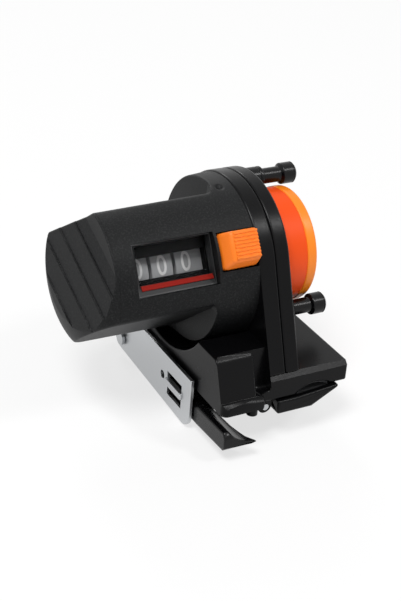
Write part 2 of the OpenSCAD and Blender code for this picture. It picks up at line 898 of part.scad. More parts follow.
module wheel_screw() {
    slot_w = 0.8;
    color(steel) place() difference() {
        union() {
            round_x([0, 0], 2 * shaft_r, wheel_end_x - screw_head_t, wheel_end_x);
            round_x([0, 0], shaft_r / 2, wheel_end_x - screw_head_t - wheel_screw_len,
                wheel_end_x - screw_head_t + eps);
        }
        translate([wheel_end_x - slot_w, -slot_w / 2, -big / 2]) cube([big, slot_w, big]);
    }
}

module drive_pinion() {
    color(brass) place() difference() {
        axis_gear(fine_small, fine_m, stage_1_x - 0.2, stage_1_x + gear_w + 0.2);
        round_x([0, 0], stub_r + fit_gap, -big, 0);
    }
}

module first_gear() {
    color(pale_grey) place() difference() {
        union() {
            lay_gear(fine_large, fine_m, stage_1_x, stage_1_x + gear_w);
            lay_gear(fine_small, fine_m, stage_2_x - 0.1, stage_1_x + eps);
        }
        round_x(polar(centre_d, lay_angle), lay_r + run_gap, -big, 0);
    }
}

module second_gear() {
    color(pale_grey) place() difference() {
        union() {
            axis_gear(fine_large, fine_m, stage_2_x, stage_2_x + gear_w);
            axis_gear(coarse_small, coarse_m, stage_3_x - 0.1, stage_2_x + eps);
        }
        round_x([0, 0], arbor_r + run_gap, -big, 0);
    }
}

module third_gear() {
    color(pale_grey) place() difference() {
        union() {
            lay_gear(coarse_large, coarse_m, stage_3_x, stage_3_x + gear_w);
            lay_gear(coarse_small, coarse_m, stage_4_x - 0.1, stage_3_x + eps);
        }
        round_x(polar(centre_d, lay_angle), lay_r + run_gap, -big, 0);
    }
}

module units_gear() {
    color(pale_grey) place() difference() {
        axis_gear(coarse_large, coarse_m, stage_4_x, stage_4_x + gear_w);
        round_x([0, 0], hub_r + fit_gap, -big, 0);
    }
}

module number_arbor() {
    color(steel) place() round_x([0, 0], arbor_r, cap_x + fit_gap, stage_2_x + gear_w + 0.1);
}

module lay_shaft() {
    color(steel) place() round_x(polar(centre_d, lay_angle), lay_r, plate_x, -1.8);
}

module carry_shaft() {
    color(steel) place() round_x(polar(carry_d, carry_angle), carry_r, cap_x + fit_gap, plate_x + plate_t);
}

// Inner plate that carries the layshaft and the carry shaft
module movement_plate() {
    color(brass) place() difference() {
        along_x(plate_x, plate_x + plate_t) circle(plate_r);
        out_block(upper_scoop_angle, -big, big, upper_scoop_d - scoop_wall - 0.3, big / 4, big);
        out_block(lower_scoop_angle, -big, big, lower_scoop_d - scoop_wall - 0.3, big / 4, big);
        out_block(button_angle, -big, big, button_deep - button_travel - 0.4, big / 4, big);
        round_x([0, 0], hub_r + hub_clear, -big, 0);
        round_x(polar(centre_d, lay_angle), lay_r + fit_gap, -big, 0);
        round_x(polar(carry_d, carry_angle), carry_r + fit_gap, -big, 0);
        for (a = pillar_angles)
            round_x(polar(pillar_d, a), rivet_r + fit_gap, -big, 0);
    }
}

module movement_pillars() {
    rivet_depth = 3.6;
    color(steel) place() for (a = pillar_angles) union() {
        round_x(polar(pillar_d, a), pillar_r, plate_x + plate_t, -upright_t);
        round_x(polar(pillar_d, a), rivet_r, plate_x, -upright_t + rivet_depth);
    }
}

// Number wheel: a rim that carries the digits, a web and a hub
module number_wheel(mid_x, rim_to, hub_to) {
    from = mid_x - number_w / 2;
    to = rim_to;
    rim_in = number_r - 2.2;
    web_x = from + 1.2;
    web_end_x = from + 2.4;
    turned([0, 0]) polygon([
        [arbor_r + run_gap, from - 0.4],
        [hub_r, from - 0.4],
        [hub_r, web_x],
        [rim_in, web_x],
        [rim_in, from],
        [number_r, from],
        [number_r, to],
        [rim_in, to],
        [rim_in, web_end_x],
        [hub_r, web_end_x],
        [hub_r, hub_to],
        [arbor_r + run_gap, hub_to]
    ]);
}

module units_wheel() {
    color(pale_grey) place() number_wheel(-units_x, plate_x - plate_gap, stage_4_x + gear_w);
}

module tens_wheel() {
    mid = -units_x - number_pitch;
    color(pale_grey) place() number_wheel(mid, mid + number_w / 2, mid + number_w / 2 + 0.4);
}

module hundreds_wheel() {
    mid = -units_x - 2 * number_pitch;
    color(pale_grey) place() number_wheel(mid, mid + number_w / 2, mid + number_w / 2 + 0.4);
}

// Small transfer pinion in the groove between a number wheel and the next
module carry_pinion(left_mid_x) {
    groove = number_pitch - number_w;
    from = left_mid_x + number_w / 2 + groove * 0.2;
    yz = polar(carry_d, carry_angle);
    difference() {
        translate([0, yz[0], yz[1]])
            along_x(from, from + groove * 0.6) gear_outline(8, carry_m, carry_angle + 180 / 8);
        round_x(yz, carry_r + run_gap, -big, 0);
    }
}

module tens_carry_pinion() {
    color(brass) place() carry_pinion(-units_x - number_pitch);
}

module hundreds_carry_pinion() {
    color(brass) place() carry_pinion(-units_x - 2 * number_pitch);
}

// Reset button

// Ribbed push button with a sloping left end and front, and a flange under the housing's wall
module reset_button() {
    slope_x = 2.1;
    slope_z = 1.7;
    slope_d = 3.8;
    rib_w = button_w - slope_z - 0.4;
    rib = rib_w / (2 * button_ribs + 1);
    rib_d = 0.4;
    stop_d = button_deep + 2.6;
    color(orange) place() rotate([-button_angle, 0, 0]) difference() {
        union() {
            translate([button_x, -button_top, -button_w / 2])
                cube([button_len, button_top - button_deep, button_w]);
            translate([button_x, -stop_d, -button_w / 2 - button_flange])
                cube([button_len, stop_d - button_deep, button_w + 2 * button_flange]);
        }
        for (i = [0:button_ribs - 1])
            translate([button_x + slope_x + 0.8, -button_top - 1, button_w / 2 - rib_w + rib * (2 * i + 1)])
                cube([button_len, 1 + rib_d, rib]);
        translate([0, 0, -big / 2]) linear_extrude(big) polygon([
            [button_x - 1, -button_top - 1],
            [button_x + slope_x, -button_top - 1],
            [button_x + slope_x, -button_top],
            [button_x, -button_top + slope_d],
            [button_x - 1, -button_top + slope_d]
        ]);
        along_x(-big, big) polygon([
            [-button_top - 1, -button_w / 2 - 1],
            [-button_top + slope_d, -button_w / 2 - 1],
            [-button_top + slope_d, -button_w / 2],
            [-button_top, -button_w / 2 + slope_z],
            [-button_top - 1, -button_w / 2 + slope_z]
        ]);
    }
}

// Compression spring under the button
module reset_spring() {
    turns = 3;
    pitch = 0.9;
    wire = 0.22;
    color(steel) place() rotate([-button_angle, 0, 0])
        translate([button_x + button_len / 2, -button_deep + wire + fit_gap, 0])
            rotate([0, 0, 90]) coil(turns, pitch, 2, wire);
}

// Rod seat and clamp

module upper_rod_pad() {
    half = 4.8;
    color(pad_black) place() along_y(-base_front + 1, base_rear - 1) translate([rod_x, groove_z])
        intersection() {
            difference() {
                circle(groove_r - fit_gap);
                circle(groove_r - pad_t);
            }
            translate([-half, groove_r - groove_h]) square([2 * half - 0.6, groove_h]);
        }
}

module stop_stud() {
    color(steel) place() translate([stud_x, stud_y, base_z]) union() {
        translate([0, 0, -stud_len]) cylinder(h = stud_len, r = stud_r);
        translate([0, 0, -eps]) cylinder(h = stud_len - 0.2, r = stud_r - 0.6);
    }
}

module jaw_pin() {
    color(pale_grey) place()
        round_y([jaw_pin_x, jaw_pin_z], jaw_pin_r, jaw_lug_y[0][0] - 0.5, jaw_lug_y[1][1] + 0.5);
}

module lever_pin() {
    head_t = 0.8;
    color(steel) place() union() {
        round_x([lever_pin_y, lever_pin_z], lever_pin_r, cheek_x - 0.3, right_cheek_x + sheet_t + 0.3);
        round_x([lever_pin_y, lever_pin_z], lever_pin_r + 0.8, cheek_x - 0.3 - head_t, cheek_x - 0.3);
    }
}

// Height of the jaw's top, which slopes up to the tip under the groove
function jaw_top(x) =
    jaw_z + max(0, x - jaw_bend_x) * step_up / (jaw_right - jaw_bend_x);

// Section of the pad let into the jaw's top, made smaller by a gap
module lower_pad_outline(gap) {
    from = rod_x - 5 + gap;
    to = rod_x + 4.8 - gap;
    polygon([
        [from, jaw_top(from) - pad_t + gap],
        [from, jaw_top(from)],
        [to, jaw_top(to)],
        [to, jaw_top(to) - pad_t + gap]
    ]);
}

// Lower jaw: split hub on its pin, thick root, thin tip under the rod seat
module lower_jaw() {
    tip_t = 0.9;
    root_z = jaw_z - jaw_t;
    root_x = 8.5;
    pad_margin = 2;
    color(black) place() difference() {
        union() {
            along_y(-jaw_front, jaw_rear) polygon([
                [jaw_left, jaw_z],
                [jaw_bend_x, jaw_z],
                [jaw_right, jaw_top(jaw_right)],
                [jaw_right, jaw_top(jaw_right) - tip_t],
                [root_x, root_z],
                [jaw_left, root_z]
            ]);
            for (y = jaw_hub_y)
                along_y(y[0], y[1]) union() {
                    translate([jaw_pin_x, jaw_pin_z]) circle(jaw_lug_r);
                    translate([jaw_pin_x, jaw_pin_z - 1.4]) square([jaw_left - jaw_pin_x + eps, 2.6]);
                }
            along_y(tail_y[0], tail_y[1])
                translate([jaw_pin_x - tail_reach, jaw_pin_z + 0.4]) square([tail_reach, 0.8]);
        }
        round_y([jaw_pin_x, jaw_pin_z], jaw_pin_r + run_gap, -big, big);
        translate([0, 0, eps]) along_y(-jaw_front + pad_margin, jaw_rear - pad_margin) lower_pad_outline(0);
    }
}

module lower_rod_pad() {
    pad_margin = 2 + fit_gap;
    color(pad_black) place()
        along_y(-jaw_front + pad_margin, jaw_rear - pad_margin) lower_pad_outline(fit_gap);
}

// Springs wound round the two pins
module jaw_spring() {
    wire = 0.35;
    turns = 4.5;
    space = jaw_hub_y[1][0] - jaw_hub_y[0][1] - 2 * wire - 2 * side_gap;
    color(steel) place() translate([jaw_pin_x, jaw_hub_y[0][1] + wire + side_gap, jaw_pin_z])
        rotate([0, 0, 90]) coil(turns, space / turns, jaw_pin_r + wire + 0.3, wire);
}

module lever_spring() {
    wire = 0.4;
    turns = 3.5;
    from = lever_lug_x[0] + lever_lug_w + wire + side_gap;
    space = lever_lug_x[1] - wire - side_gap - from;
    color(steel) place() translate([from, lever_pin_y, lever_pin_z])
        coil(turns, space / turns, lever_pin_r + wire + 0.3, wire);
}

// Outline of the left cheek: round lower front corner and round rear end
module cheek_outline() {
    rear_r = cheek_h / 2;
    rear_z = cheek_bottom + rear_r;
    low = cheek_bottom - cheek_drop;
    union() {
        polygon([
            [-cheek_front, low + cheek_corner],
            [-cheek_front + cheek_corner, low],
            [lever_pin_y, cheek_bottom],
            [lever_pin_y, cheek_top],
            [-cheek_front, cheek_top]
        ]);
        translate([-cheek_front + cheek_corner, low + cheek_corner]) circle(cheek_corner);
        translate([lever_pin_y, rear_z]) circle(rear_r);
    }
}

// Outline of the right cheek: low beside the jaw's hub, with a tab under its tail
module right_cheek_outline() {
    tab_margin = 1;
    arm_h = 4.4;
    union() {
        translate([-web_front, cheek_bottom])
            square([web_front + web_rear, right_cheek_top - cheek_bottom]);
        translate([tail_y[0] - tab_margin, cheek_bottom])
            square([tail_y[1] - tail_y[0] + 2 * tab_margin, tail_tab_top - cheek_bottom]);
        translate([web_rear - eps, lever_pin_z - arm_h / 2]) square([lever_pin_y - web_rear, arm_h]);
        translate([lever_pin_y, lever_pin_z]) circle(lever_lug_r + 0.2);
    }
}

module lever_channel() {
    hole_r = 1.2;
    bar_h = 1.9;
    bar_out = 0.6;
    bar_lap = 0.4;
    web_w = right_cheek_x + sheet_t - cheek_x - 2 * eps;
    color(steel) place() difference() {
        union() {
            difference() {
                along_x(cheek_x, cheek_x + sheet_t) cheek_outline();
                along_x(cheek_x - 1, cheek_x + sheet_t + 1)
                    translate([cheek_window_y, cheek_window_z]) square(cheek_window, center = true);
            }
            along_x(cheek_x - bar_out, cheek_x + sheet_t)
                translate([cheek_window_y, cheek_window_z + bar_h / 4])
                    square([cheek_window[0] + 2 * bar_lap, bar_h], center = true);
            along_x(right_cheek_x, right_cheek_x + sheet_t) right_cheek_outline();
            translate([cheek_x + eps, -cheek_front + cheek_corner, cheek_bottom])
                cube([web_w, cheek_front - cheek_corner + web_rear, sheet_t]);
        }
        round_x([lever_pin_y, lever_pin_z], lever_pin_r + run_gap, cheek_x - 1, 0);
        round_x([hole_y, hole_z], hole_r, cheek_x - 1, cheek_x + sheet_t + 1);
        translate([lever_screw_x, lever_screw_y, cheek_bottom - 1])
            cylinder(h = sheet_t + 2, r = screw_r + fit_gap);
    }
}

// Side outline of the thumb lever: tongue in the channel and straight handle
module lever_outline() {
    tongue_h = 4.6;
    tongue_end = -4;
    rise = 0.8;
    tip_r = 1.2;
    root = -cheek_front - 2;
    polygon([
        [tongue_end, lever_z],
        [root, lever_z],
        [lever_tip + tip_r, lever_z + rise],
        [lever_tip, lever_z + rise + tip_r],
        [lever_tip, lever_z + lever_h - tip_r],
        [lever_tip + tip_r, lever_z + lever_h],
        [root, lever_z + lever_h - rise],
        [-cheek_front, lever_z + tongue_h],
        [tongue_end, lever_z + tongue_h]
    ]);
}

// Plan of the thumb lever, which widens from the tongue to the tip
module lever_plan() {
    flare = lever_w - tongue_w;
    polygon([
        [lever_x, 0],
        [lever_x, lever_tip - 1],
        [lever_x + lever_w, lever_tip - 1],
        [lever_x + lever_w, lever_tip + flare / 3],
        [lever_x + tongue_w + flare / 2, lever_tip + flare],
        [lever_x + tongue_w + flare / 5, lever_tip + 2 * flare],
        [lever_x + tongue_w, -cheek_front - 1],
        [lever_x + tongue_w, 0]
    ]);
}

// Lever with a left wall, and a scooped top that falls from it to the right
module thumb_lever() {
    scoop_r = 10;
    scoop_floor = 2.2;
    scoop_z = lever_z + scoop_floor + scoop_r;
    color(black) place() difference() {
        intersection() {
            along_x(lever_x, lever_x + lever_w) lever_outline();
            translate([0, 0, cheek_bottom]) linear_extrude(axis_h) lever_plan();
        }
        round_y([lever_x + lever_w + 0.3, scoop_z], scoop_r, lever_tip - 1, -cheek_front - 1);
        translate([lever_screw_x, lever_screw_y, cheek_bottom - 1])
            cylinder(h = lever_screw_len + 1.4, r = screw_r + fit_gap);
    }
}

module lever_screw() {
    head_t = 0.8;
    color(steel) place() translate([lever_screw_x, lever_screw_y, cheek_bottom]) union() {
        translate([0, 0, -head_t]) cylinder(h = head_t, r = screw_head_r);
        cylinder(h = lever_screw_len, r = screw_r);
    }
}

frame_base();
wheel_cover();
counter_housing();
end_cap();
window_bezel();
window_lens();
index_strip();
number_mask();
rear_guide_post();
front_guide_post();
guide_post_screws();
housing_screws();
cover_screws();
shaft_bushes();
number_arbor();
lay_shaft();
carry_shaft();
movement_plate();
movement_pillars();
jaw_pin();
lever_pin();
stop_stud();
upper_rod_pad();
reset_spring();
jaw_spring();
lever_spring();
measuring_wheel();
wheel_tread();
wheel_shaft();
wheel_screw();
drive_pinion();
first_gear();
second_gear();
third_gear();
units_wheel();
units_gear();
tens_wheel();
hundreds_wheel();
tens_carry_pinion();
hundreds_carry_pinion();
reset_button();
lower_jaw();
lower_rod_pad();
lever_channel();
thumb_lever();
lever_screw();
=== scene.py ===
"""Looks of a clip-on fishing line counter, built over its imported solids.

Pieces are drawn in millimetres about the wheel axis, with X = 0 on the joint between
the upright and its cover, and are then moved to the part's own frame in metres.
An angle "up from the front" is 0 towards -Y and 90 towards +Z.
"""

import json
import math

import bmesh
import bpy
import numpy as np
from mathutils import Matrix, Vector


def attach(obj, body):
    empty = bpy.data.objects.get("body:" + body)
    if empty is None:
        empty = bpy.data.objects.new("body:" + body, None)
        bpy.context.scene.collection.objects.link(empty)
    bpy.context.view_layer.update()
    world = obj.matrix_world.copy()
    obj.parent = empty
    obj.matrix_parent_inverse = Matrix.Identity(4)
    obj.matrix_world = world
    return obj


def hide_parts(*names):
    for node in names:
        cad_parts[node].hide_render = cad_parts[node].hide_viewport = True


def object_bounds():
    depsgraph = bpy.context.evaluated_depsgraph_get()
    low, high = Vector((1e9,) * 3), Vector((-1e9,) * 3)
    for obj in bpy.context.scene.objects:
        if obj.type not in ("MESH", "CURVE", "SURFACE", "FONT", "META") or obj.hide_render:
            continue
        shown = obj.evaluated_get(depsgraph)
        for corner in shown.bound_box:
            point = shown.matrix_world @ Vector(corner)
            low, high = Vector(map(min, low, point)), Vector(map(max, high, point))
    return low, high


bl_info = {
    "name": "Fishing Line Counter",
    "version": (1, 0, 0),
    "blender": (4, 5, 0),
    "location": "View3D > Sidebar > Counter",
    "description": "Dresses the solids of a clip-on fishing line counter",
    "category": "Object",
}

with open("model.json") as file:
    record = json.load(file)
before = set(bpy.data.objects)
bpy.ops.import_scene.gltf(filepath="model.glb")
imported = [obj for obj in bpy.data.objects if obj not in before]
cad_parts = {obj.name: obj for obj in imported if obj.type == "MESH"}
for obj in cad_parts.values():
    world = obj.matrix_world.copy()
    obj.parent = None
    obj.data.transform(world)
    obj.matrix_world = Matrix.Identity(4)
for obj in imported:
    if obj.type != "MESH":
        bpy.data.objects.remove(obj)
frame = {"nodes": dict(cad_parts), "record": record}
CAD_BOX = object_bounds()
BODY_OF = {n: b for b, nodes in frame["record"]["behaviour"]["bodies"].items() for n in nodes}

MM = 0.001
# From the wheel axis in millimetres to the part's origin on the rod seat in metres
TO_PART = Matrix.Translation(Vector((-9.6, 0, 28)) * MM) @ Matrix.Scale(MM, 4)

# Shape of the barrel, the same values as the solids have
UPRIGHT_T = 4.8
COVER_T = 4.2
DRUM_R = 22.7
NOSE_R = 19.9
BARREL_LEN = 38.2
CAP_X = -UPRIGHT_T - BARREL_LEN
CAP_LEN = 8.1
FACE_ANGLE = 28.0
WALL = 1.8
SCOOP_WALL = 1.4
SCOOP_CORNER_R = 4.5
SCOOP_SOFT = 0.7
DIMPLE_R = 1.1
# Each finger scoop: its angle up from the front, its floor's distance from the axis,
# its right end
SCOOPS = ((125.5, 14.6, -10.3), (-52.0, 15.0, -16.2))
STEP_ROLL = 22.0
STEPS = 4
FIRST_STEP = 10.9
FIRST_LEN = 1.8
STEP_H = 5.9
STEP_RUN = 1.4
STEP_DEPTH = 0.35
WINDOW_X = -27.075
WINDOW_LEN = 22.15
WINDOW_H = 13.45
LENS_D = 15.8
BUTTON_ANGLE = 31.0
BUTTON_X = -14.95
BUTTON_LEN = 10.0
BUTTON_W = 9.6
BUTTON_TOP = 25.2
BUTTON_DEEP = 16.0
BUTTON_ROUND = 0.95
BUTTON_GAP = 0.3
RIDGE_H = 0.3
# The wall inside the barrel between the window and the button: its lower and upper end
PARTING_WALL = (16.4, 20.4)
NUMBER_R = 12.7
NUMBER_WHEELS = (("units", -20.775), ("tens", -27.675), ("hundreds", -34.575))
POSTS = (("rear_guide_post", 109.5), ("front_guide_post", -38.5))
POST_D = 19.2
POST_R = 2.15
COLLAR_R = 2.95
POST_LEN = 16.4
POST_BORE_R = 1.02
POST_BORE_LEN = 8.0
FOOT_LEN = 5.9
HEAD_LEN = 4.1
TREAD_R = 15.92
TREAD_W = 8.4
TREAD_T = 1.4
EDGE_R = 16.05
RIM_W = 3.1
RIM_T = 3.0
WHEEL_BORE_R = 1.52
HUB_R = 4.6
# The two sides of the wheel's web, from the wheel's left
WEB_SPAN = (4.4, 6.6)

# Place and lens of the camera, found by fitting the solids to the photograph
CAMERA_AT = (-0.17614, -0.27488, 0.18815)
CAMERA_RIGHT = (0.88315, -0.46456, 0.06494)
CAMERA_UP = (0.17392, 0.45287, 0.87445)
CAMERA_BACK = (-0.43565, -0.76098, 0.48075)
LENS_MM = 78.67
SENSOR_MM = 36.0

# Lamps: name, place and size in metres, power in watts
LAMPS = (
    ("key", (-0.7, -0.5, 1.5), 0.55, 20.0),
    ("fill", (0.7, -0.77, 1.22), 0.25, 6.0),
    ("rim", (0.2, 1.2, 0.9), 0.4, 4.0),
)
LAMP_AIM = (-0.01, 0, 0.02)
# Light of the world on the object, and the share of the floor that is plain white to the eye
WORLD_LIGHT = 0.25
FLOOR_WHITE = 0.7

# Edges that turn by more than this are rounded
SHARP_EDGE_DEG = 28


def linear(code):
    """An sRGB hex colour as linear RGBA."""
    parts = [int(code[i : i + 2], 16) / 255 for i in (1, 3, 5)]
    return [p / 12.92 if p <= 0.04045 else ((p + 0.055) / 1.055) ** 2.4 for p in parts] + [1.0]


def add(tree, kind, links=(), **settings):
    """Adds a shader node. Settings are attributes, or inputs by their name with _ for a
    space; links are (this node's input, other node, the other node's output)."""
    made = tree.nodes.new(kind)
    for key, value in settings.items():
        if hasattr(made, key):
            setattr(made, key, value)
        else:
            made.inputs[key.replace("_", " ")].default_value = value
    for socket, other, output in links:
        tree.links.new(other.outputs[output], made.inputs[socket])
    return made


def blank(name):
    """A new material with an empty tree, and that tree."""
    material = bpy.data.materials.new(name)
    material.use_nodes = True
    material.node_tree.nodes.clear()
    return material, material.node_tree


def moulded(name, colour, rough, grit_mm, bump_mm, mottle=0.12, painted_glint=0.0, gleam=0.5):
    """Moulded plastic: a plain colour with a faint flow mottle, a surface grit that the mould
    left, which breaks the highlight up, and painted glints: a lighter grey colour where the grit
    stands high. Real grit is finer and wouldn't show, so it is drawn as coarse as a picture needs."""
    flow_mm = 9
    spread = 0.06
    material, tree = blank(name)
    place = add(tree, "ShaderNodeTexCoord")
    flow = add(
        tree, "ShaderNodeTexNoise", [("Vector", place, "Object")],
        Scale=1 / (flow_mm * MM), Detail=3.0,
    )
    grit = add(
        tree, "ShaderNodeTexNoise", [("Vector", place, "Object")],
        Scale=1 / (grit_mm * MM), Detail=2.0,
    )
    tint = add(tree, "ShaderNodeMix", [("Factor", flow, "Fac")], data_type="RGBA")
    shade = [c * (1 - mottle) for c in colour[:3]] + [1]
    light = [min(1, c * (1 + mottle)) for c in colour[:3]] + [1]
    tint.inputs[6].default_value = shade
    tint.inputs[7].default_value = light
    # Painted glints: the colour turns lighter grey where the grit stands high
    if painted_glint:
        high = add(tree, "ShaderNodeMapRange", [("Value", grit, "Fac")])
        high.inputs["From Min"].default_value = 0.48
        high.inputs["From Max"].default_value = 0.72
        high.inputs["To Max"].default_value = painted_glint
        plain = tint
        tint = add(tree, "ShaderNodeMix", [("Factor", high, "Result")], data_type="RGBA")
        tree.links.new(plain.outputs[2], tint.inputs[6])
        tint.inputs[7].default_value = linear("#8a8b8c")
    gloss = add(tree, "ShaderNodeMapRange", [("Value", grit, "Fac")])
    gloss.inputs["To Min"].default_value = rough - spread
    gloss.inputs["To Max"].default_value = rough + spread
    bump = add(
        tree, "ShaderNodeBump", [("Height", grit, "Fac")], Strength=0.5, Distance=bump_mm * MM
    )
    skin = add(
        tree, "ShaderNodeBsdfPrincipled",
        [("Roughness", gloss, "Result"), ("Normal", bump, "Normal")],
        IOR=1.53, Specular_IOR_Level=gleam,
    )
    tree.links.new(tint.outputs[2], skin.inputs["Base Color"])
    add(tree, "ShaderNodeOutputMaterial", [("Surface", skin, "BSDF")])
    return material


def brushed(name, colour, rough, along, line_mm, bump_mm):
    """Metal with fine lines left by rolling or turning along one axis. Real lines are too
    fine to show, so they are drawn wider."""
    line_length = 60
    material, tree = blank(name)
    place = add(tree, "ShaderNodeTexCoord")
    stretch = add(tree, "ShaderNodeMapping", [("Vector", place, "Object")])
    scale = [1 / (line_mm * MM)] * 3
    scale[along] /= line_length
    stretch.inputs["Scale"].default_value = scale
    lines = add(
        tree, "ShaderNodeTexNoise", [("Vector", stretch, "Vector")], Scale=1.0, Detail=3.0
    )
    gloss = add(tree, "ShaderNodeMapRange", [("Value", lines, "Fac")])
    gloss.inputs["To Min"].default_value = rough - 0.08
    gloss.inputs["To Max"].default_value = rough + 0.1
    bump = add(
        tree, "ShaderNodeBump", [("Height", lines, "Fac")], Strength=0.4, Distance=bump_mm * MM
    )
    skin = add(
        tree, "ShaderNodeBsdfPrincipled",
        [("Roughness", gloss, "Result"), ("Normal", bump, "Normal")],
        Base_Color=colour, Metallic=1.0,
    )
    add(tree, "ShaderNodeOutputMaterial", [("Surface", skin, "BSDF")])
    return material


def clear_sheet(name):
    """Moulded clear acrylic: almost nothing but its reflection shows."""
    material, tree = blank(name)
    skin = add(
        tree, "ShaderNodeBsdfPrincipled",
        Base_Color=linear("#15181a"), Roughness=0.06, IOR=1.49, Alpha=0.08,
    )
    add(tree, "ShaderNodeOutputMaterial", [("Surface", skin, "BSDF")])
    return material


def make_finishes(colours):
    """All materials of the counter by a short name."""

    def rgba(value):
        return list(value) + [1.0]

    return {
        # Spark-eroded mould: an even fine grain that keeps the black soft and grey in light, with
        # painted glints of lighter grey where the grit stands high
        "barrel": moulded(
            "abs_spark_textured_black", rgba(colours.barrel), 0.5, 0.4, 0.06,
            mottle=0.2, painted_glint=0.05, gleam=0.15,
        ),
        # Polished mould with some handling haze: deep black with broad highlights
        "base": moulded("abs_satin_black", rgba(colours.base), 0.3, 0.9, 0.008, gleam=0.12),
        # Well polished mould: sharp narrow highlights along the spools and the lever
        "gloss": moulded("abs_polished_black", rgba(colours.base), 0.26, 1.2, 0.001, gleam=0.2),
        # Pigmented ABS: bright and even, with a satin sheen
        "orange": moulded(
            "abs_moulded_orange", rgba(colours.wheel), 0.38, 0.8, 0.012, mottle=0.05, gleam=0.35
        ),
        # Pigmented ABS of the button, a little duller from touch
        "button": moulded(
            "abs_touch_worn_orange", rgba(colours.button), 0.44, 0.6, 0.015,
            mottle=0.06, gleam=0.35,
        ),
        # Tread band that grips the line: the wheel's orange painted deeper and redder as shade in
        # the groove between the arch and the rim; matt
        "tread": moulded(
            "orange_deepened_painted_shade", rgba(colours.tread), 0.5, 0.5, 0.02,
            mottle=0.05, gleam=0.25,
        ),
        # Satin mould: the bevels round the window catch a soft grey line of light
        "bezel": moulded("abs_moulded_grey", rgba(colours.bezel), 0.4, 0.6, 0.006, gleam=0.4),
        # Matt black sheet over the top of the window: painted shade that stands in for the shade
        # in the window's recess, so that only the numbers show in the window
        "mask": moulded("black_sheet_painted_shade", linear("#050505"), 0.8, 0.5, 0.004, gleam=0.1),
        # Dull pigmented ABS: a deep red line that no reflection washes out
        "index": moulded(
            "abs_moulded_red", rgba(colours.index), 0.45, 0.8, 0.004, mottle=0.06, gleam=0.1
        ),
        # Dull moulded grey: an even ground for the numbers
        "number": moulded("abs_moulded_number_grey", rgba(colours.number), 0.5, 0.5, 0.01),
        # Pad-printed ink: flat and the whitest thing in the window
        "digit": moulded(
            "pad_printed_white_ink", linear("#ffffff"), 0.5, 0.3, 0.004, mottle=0.02
        ),
        # Unpigmented acetal: waxy off-white
        "gear": moulded("acetal_natural", linear("#d9d6cc"), 0.4, 0.8, 0.01, mottle=0.04),
        # Moulded rubber: dark grey with no highlight
        "pad": moulded("nitrile_rubber_black", linear("#2c2d2f"), 0.75, 0.4, 0.03),
        # Zinc-plated pressed strip: grain along its length, with a soft bright face
        "strip": brushed("steel_pressed_zinc_plated", rgba(colours.steel), 0.34, 1, 0.16, 0.008),
        # Turned steel: brighter and sharper than the strip
        "steel": brushed("steel_turned", linear("#b4b6b8"), 0.28, 1, 0.2, 0.006),
        # Turned brass: warm yellow, with lines along the shafts
        "brass": brushed("brass_turned", linear("#c8a55c"), 0.3, 0, 0.2, 0.006),
        "clear": clear_sheet("acrylic_moulded_clear"),
    }


def seen_directly(tree):
    """A node that gives 1 to rays from the camera, mirrors and clear pieces, and else 0."""
    path = add(tree, "ShaderNodeLightPath")
    mirrored = add(tree, "ShaderNodeMath", operation="MAXIMUM")
    tree.links.new(path.outputs["Is Camera Ray"], mirrored.inputs[0])
    tree.links.new(path.outputs["Is Glossy Ray"], mirrored.inputs[1])
    either = add(tree, "ShaderNodeMath", operation="MAXIMUM")
    tree.links.new(mirrored.outputs[0], either.inputs[0])
    tree.links.new(path.outputs["Is Transmission Ray"], either.inputs[1])
    return either


FINISHES = {}


def finish_of(name):
    """A finish by its short name; the first call makes them all."""
    if not FINISHES:
        FINISHES.update(make_finishes(bpy.context.scene.counter_colours))
    return FINISHES[name]


def piece(name, bm, body, finish, nodes=(), sharp=35, to_part=True):
    """Makes a mesh piece that rides on a body and stands for the named nodes."""
    mesh = bpy.data.meshes.new(name)
    bmesh.ops.recalc_face_normals(bm, faces=bm.faces)
    bm.to_mesh(mesh)
    bm.free()
    if to_part:
        mesh.transform(TO_PART)
    for face in mesh.polygons:
        face.use_smooth = True
    mesh.set_sharp_from_angle(angle=math.radians(sharp))
    mesh.materials.append(finish_of(finish))
    made = bpy.data.objects.new(name, mesh)
    bpy.context.scene.collection.objects.link(made)
    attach(made, body)
    if nodes:
        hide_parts(*nodes)
    return made


def rounded(made, width_mm, segments=3):
    """Rounds a piece's outer edges, apart from those that meet an edge too short for it."""
    bm = bmesh.new()
    bm.from_mesh(made.data)
    weight = bm.edges.layers.float.new("bevel_weight_edge")
    shortest = 0.8 * width_mm * MM
    for edge in bm.edges:
        sharp = edge.is_convex and edge.calc_face_angle() > math.radians(SHARP_EDGE_DEG)
        if sharp and all(e.calc_length() > shortest for v in edge.verts for e in v.link_edges):
            edge[weight] = 1.0
    bm.to_mesh(made.data)
    bm.free()
    bevel = made.modifiers.new("rounded edges", "BEVEL")
    bevel.width = width_mm * MM
    bevel.segments = segments
    bevel.limit_method = "WEIGHT"
    bevel.use_clamp_overlap = False
    flat = made.modifiers.new("flat faces", "WEIGHTED_NORMAL")
    flat.weight = 100
    flat.keep_sharp = True
    return made


def dressed(node, finish, width_mm, segments=3):
    """A copy of a solid with its flat faces whole again and its edges rounded."""
    bm = bmesh.new()
    bm.from_mesh(frame["nodes"][node].data)
    bmesh.ops.remove_doubles(bm, verts=bm.verts, dist=0.002 * MM)
    bmesh.ops.dissolve_limit(bm, angle_limit=math.radians(0.6), verts=bm.verts, edges=bm.edges)
    made = piece("dressed_" + node, bm, BODY_OF[node], finish, (node,), to_part=False)
    return rounded(made, width_mm, segments)


def paint(finish, *nodes):
    """Gives solids that show as they are a material."""
    for node in nodes:
        slots = frame["nodes"][node].data.materials
        slots.clear()
        slots.append(finish_of(finish))


def polar(d, angle):
    """[Y, Z] at a distance and an angle up from the front."""
    a = math.radians(angle)
    return -d * math.cos(a), d * math.sin(a)


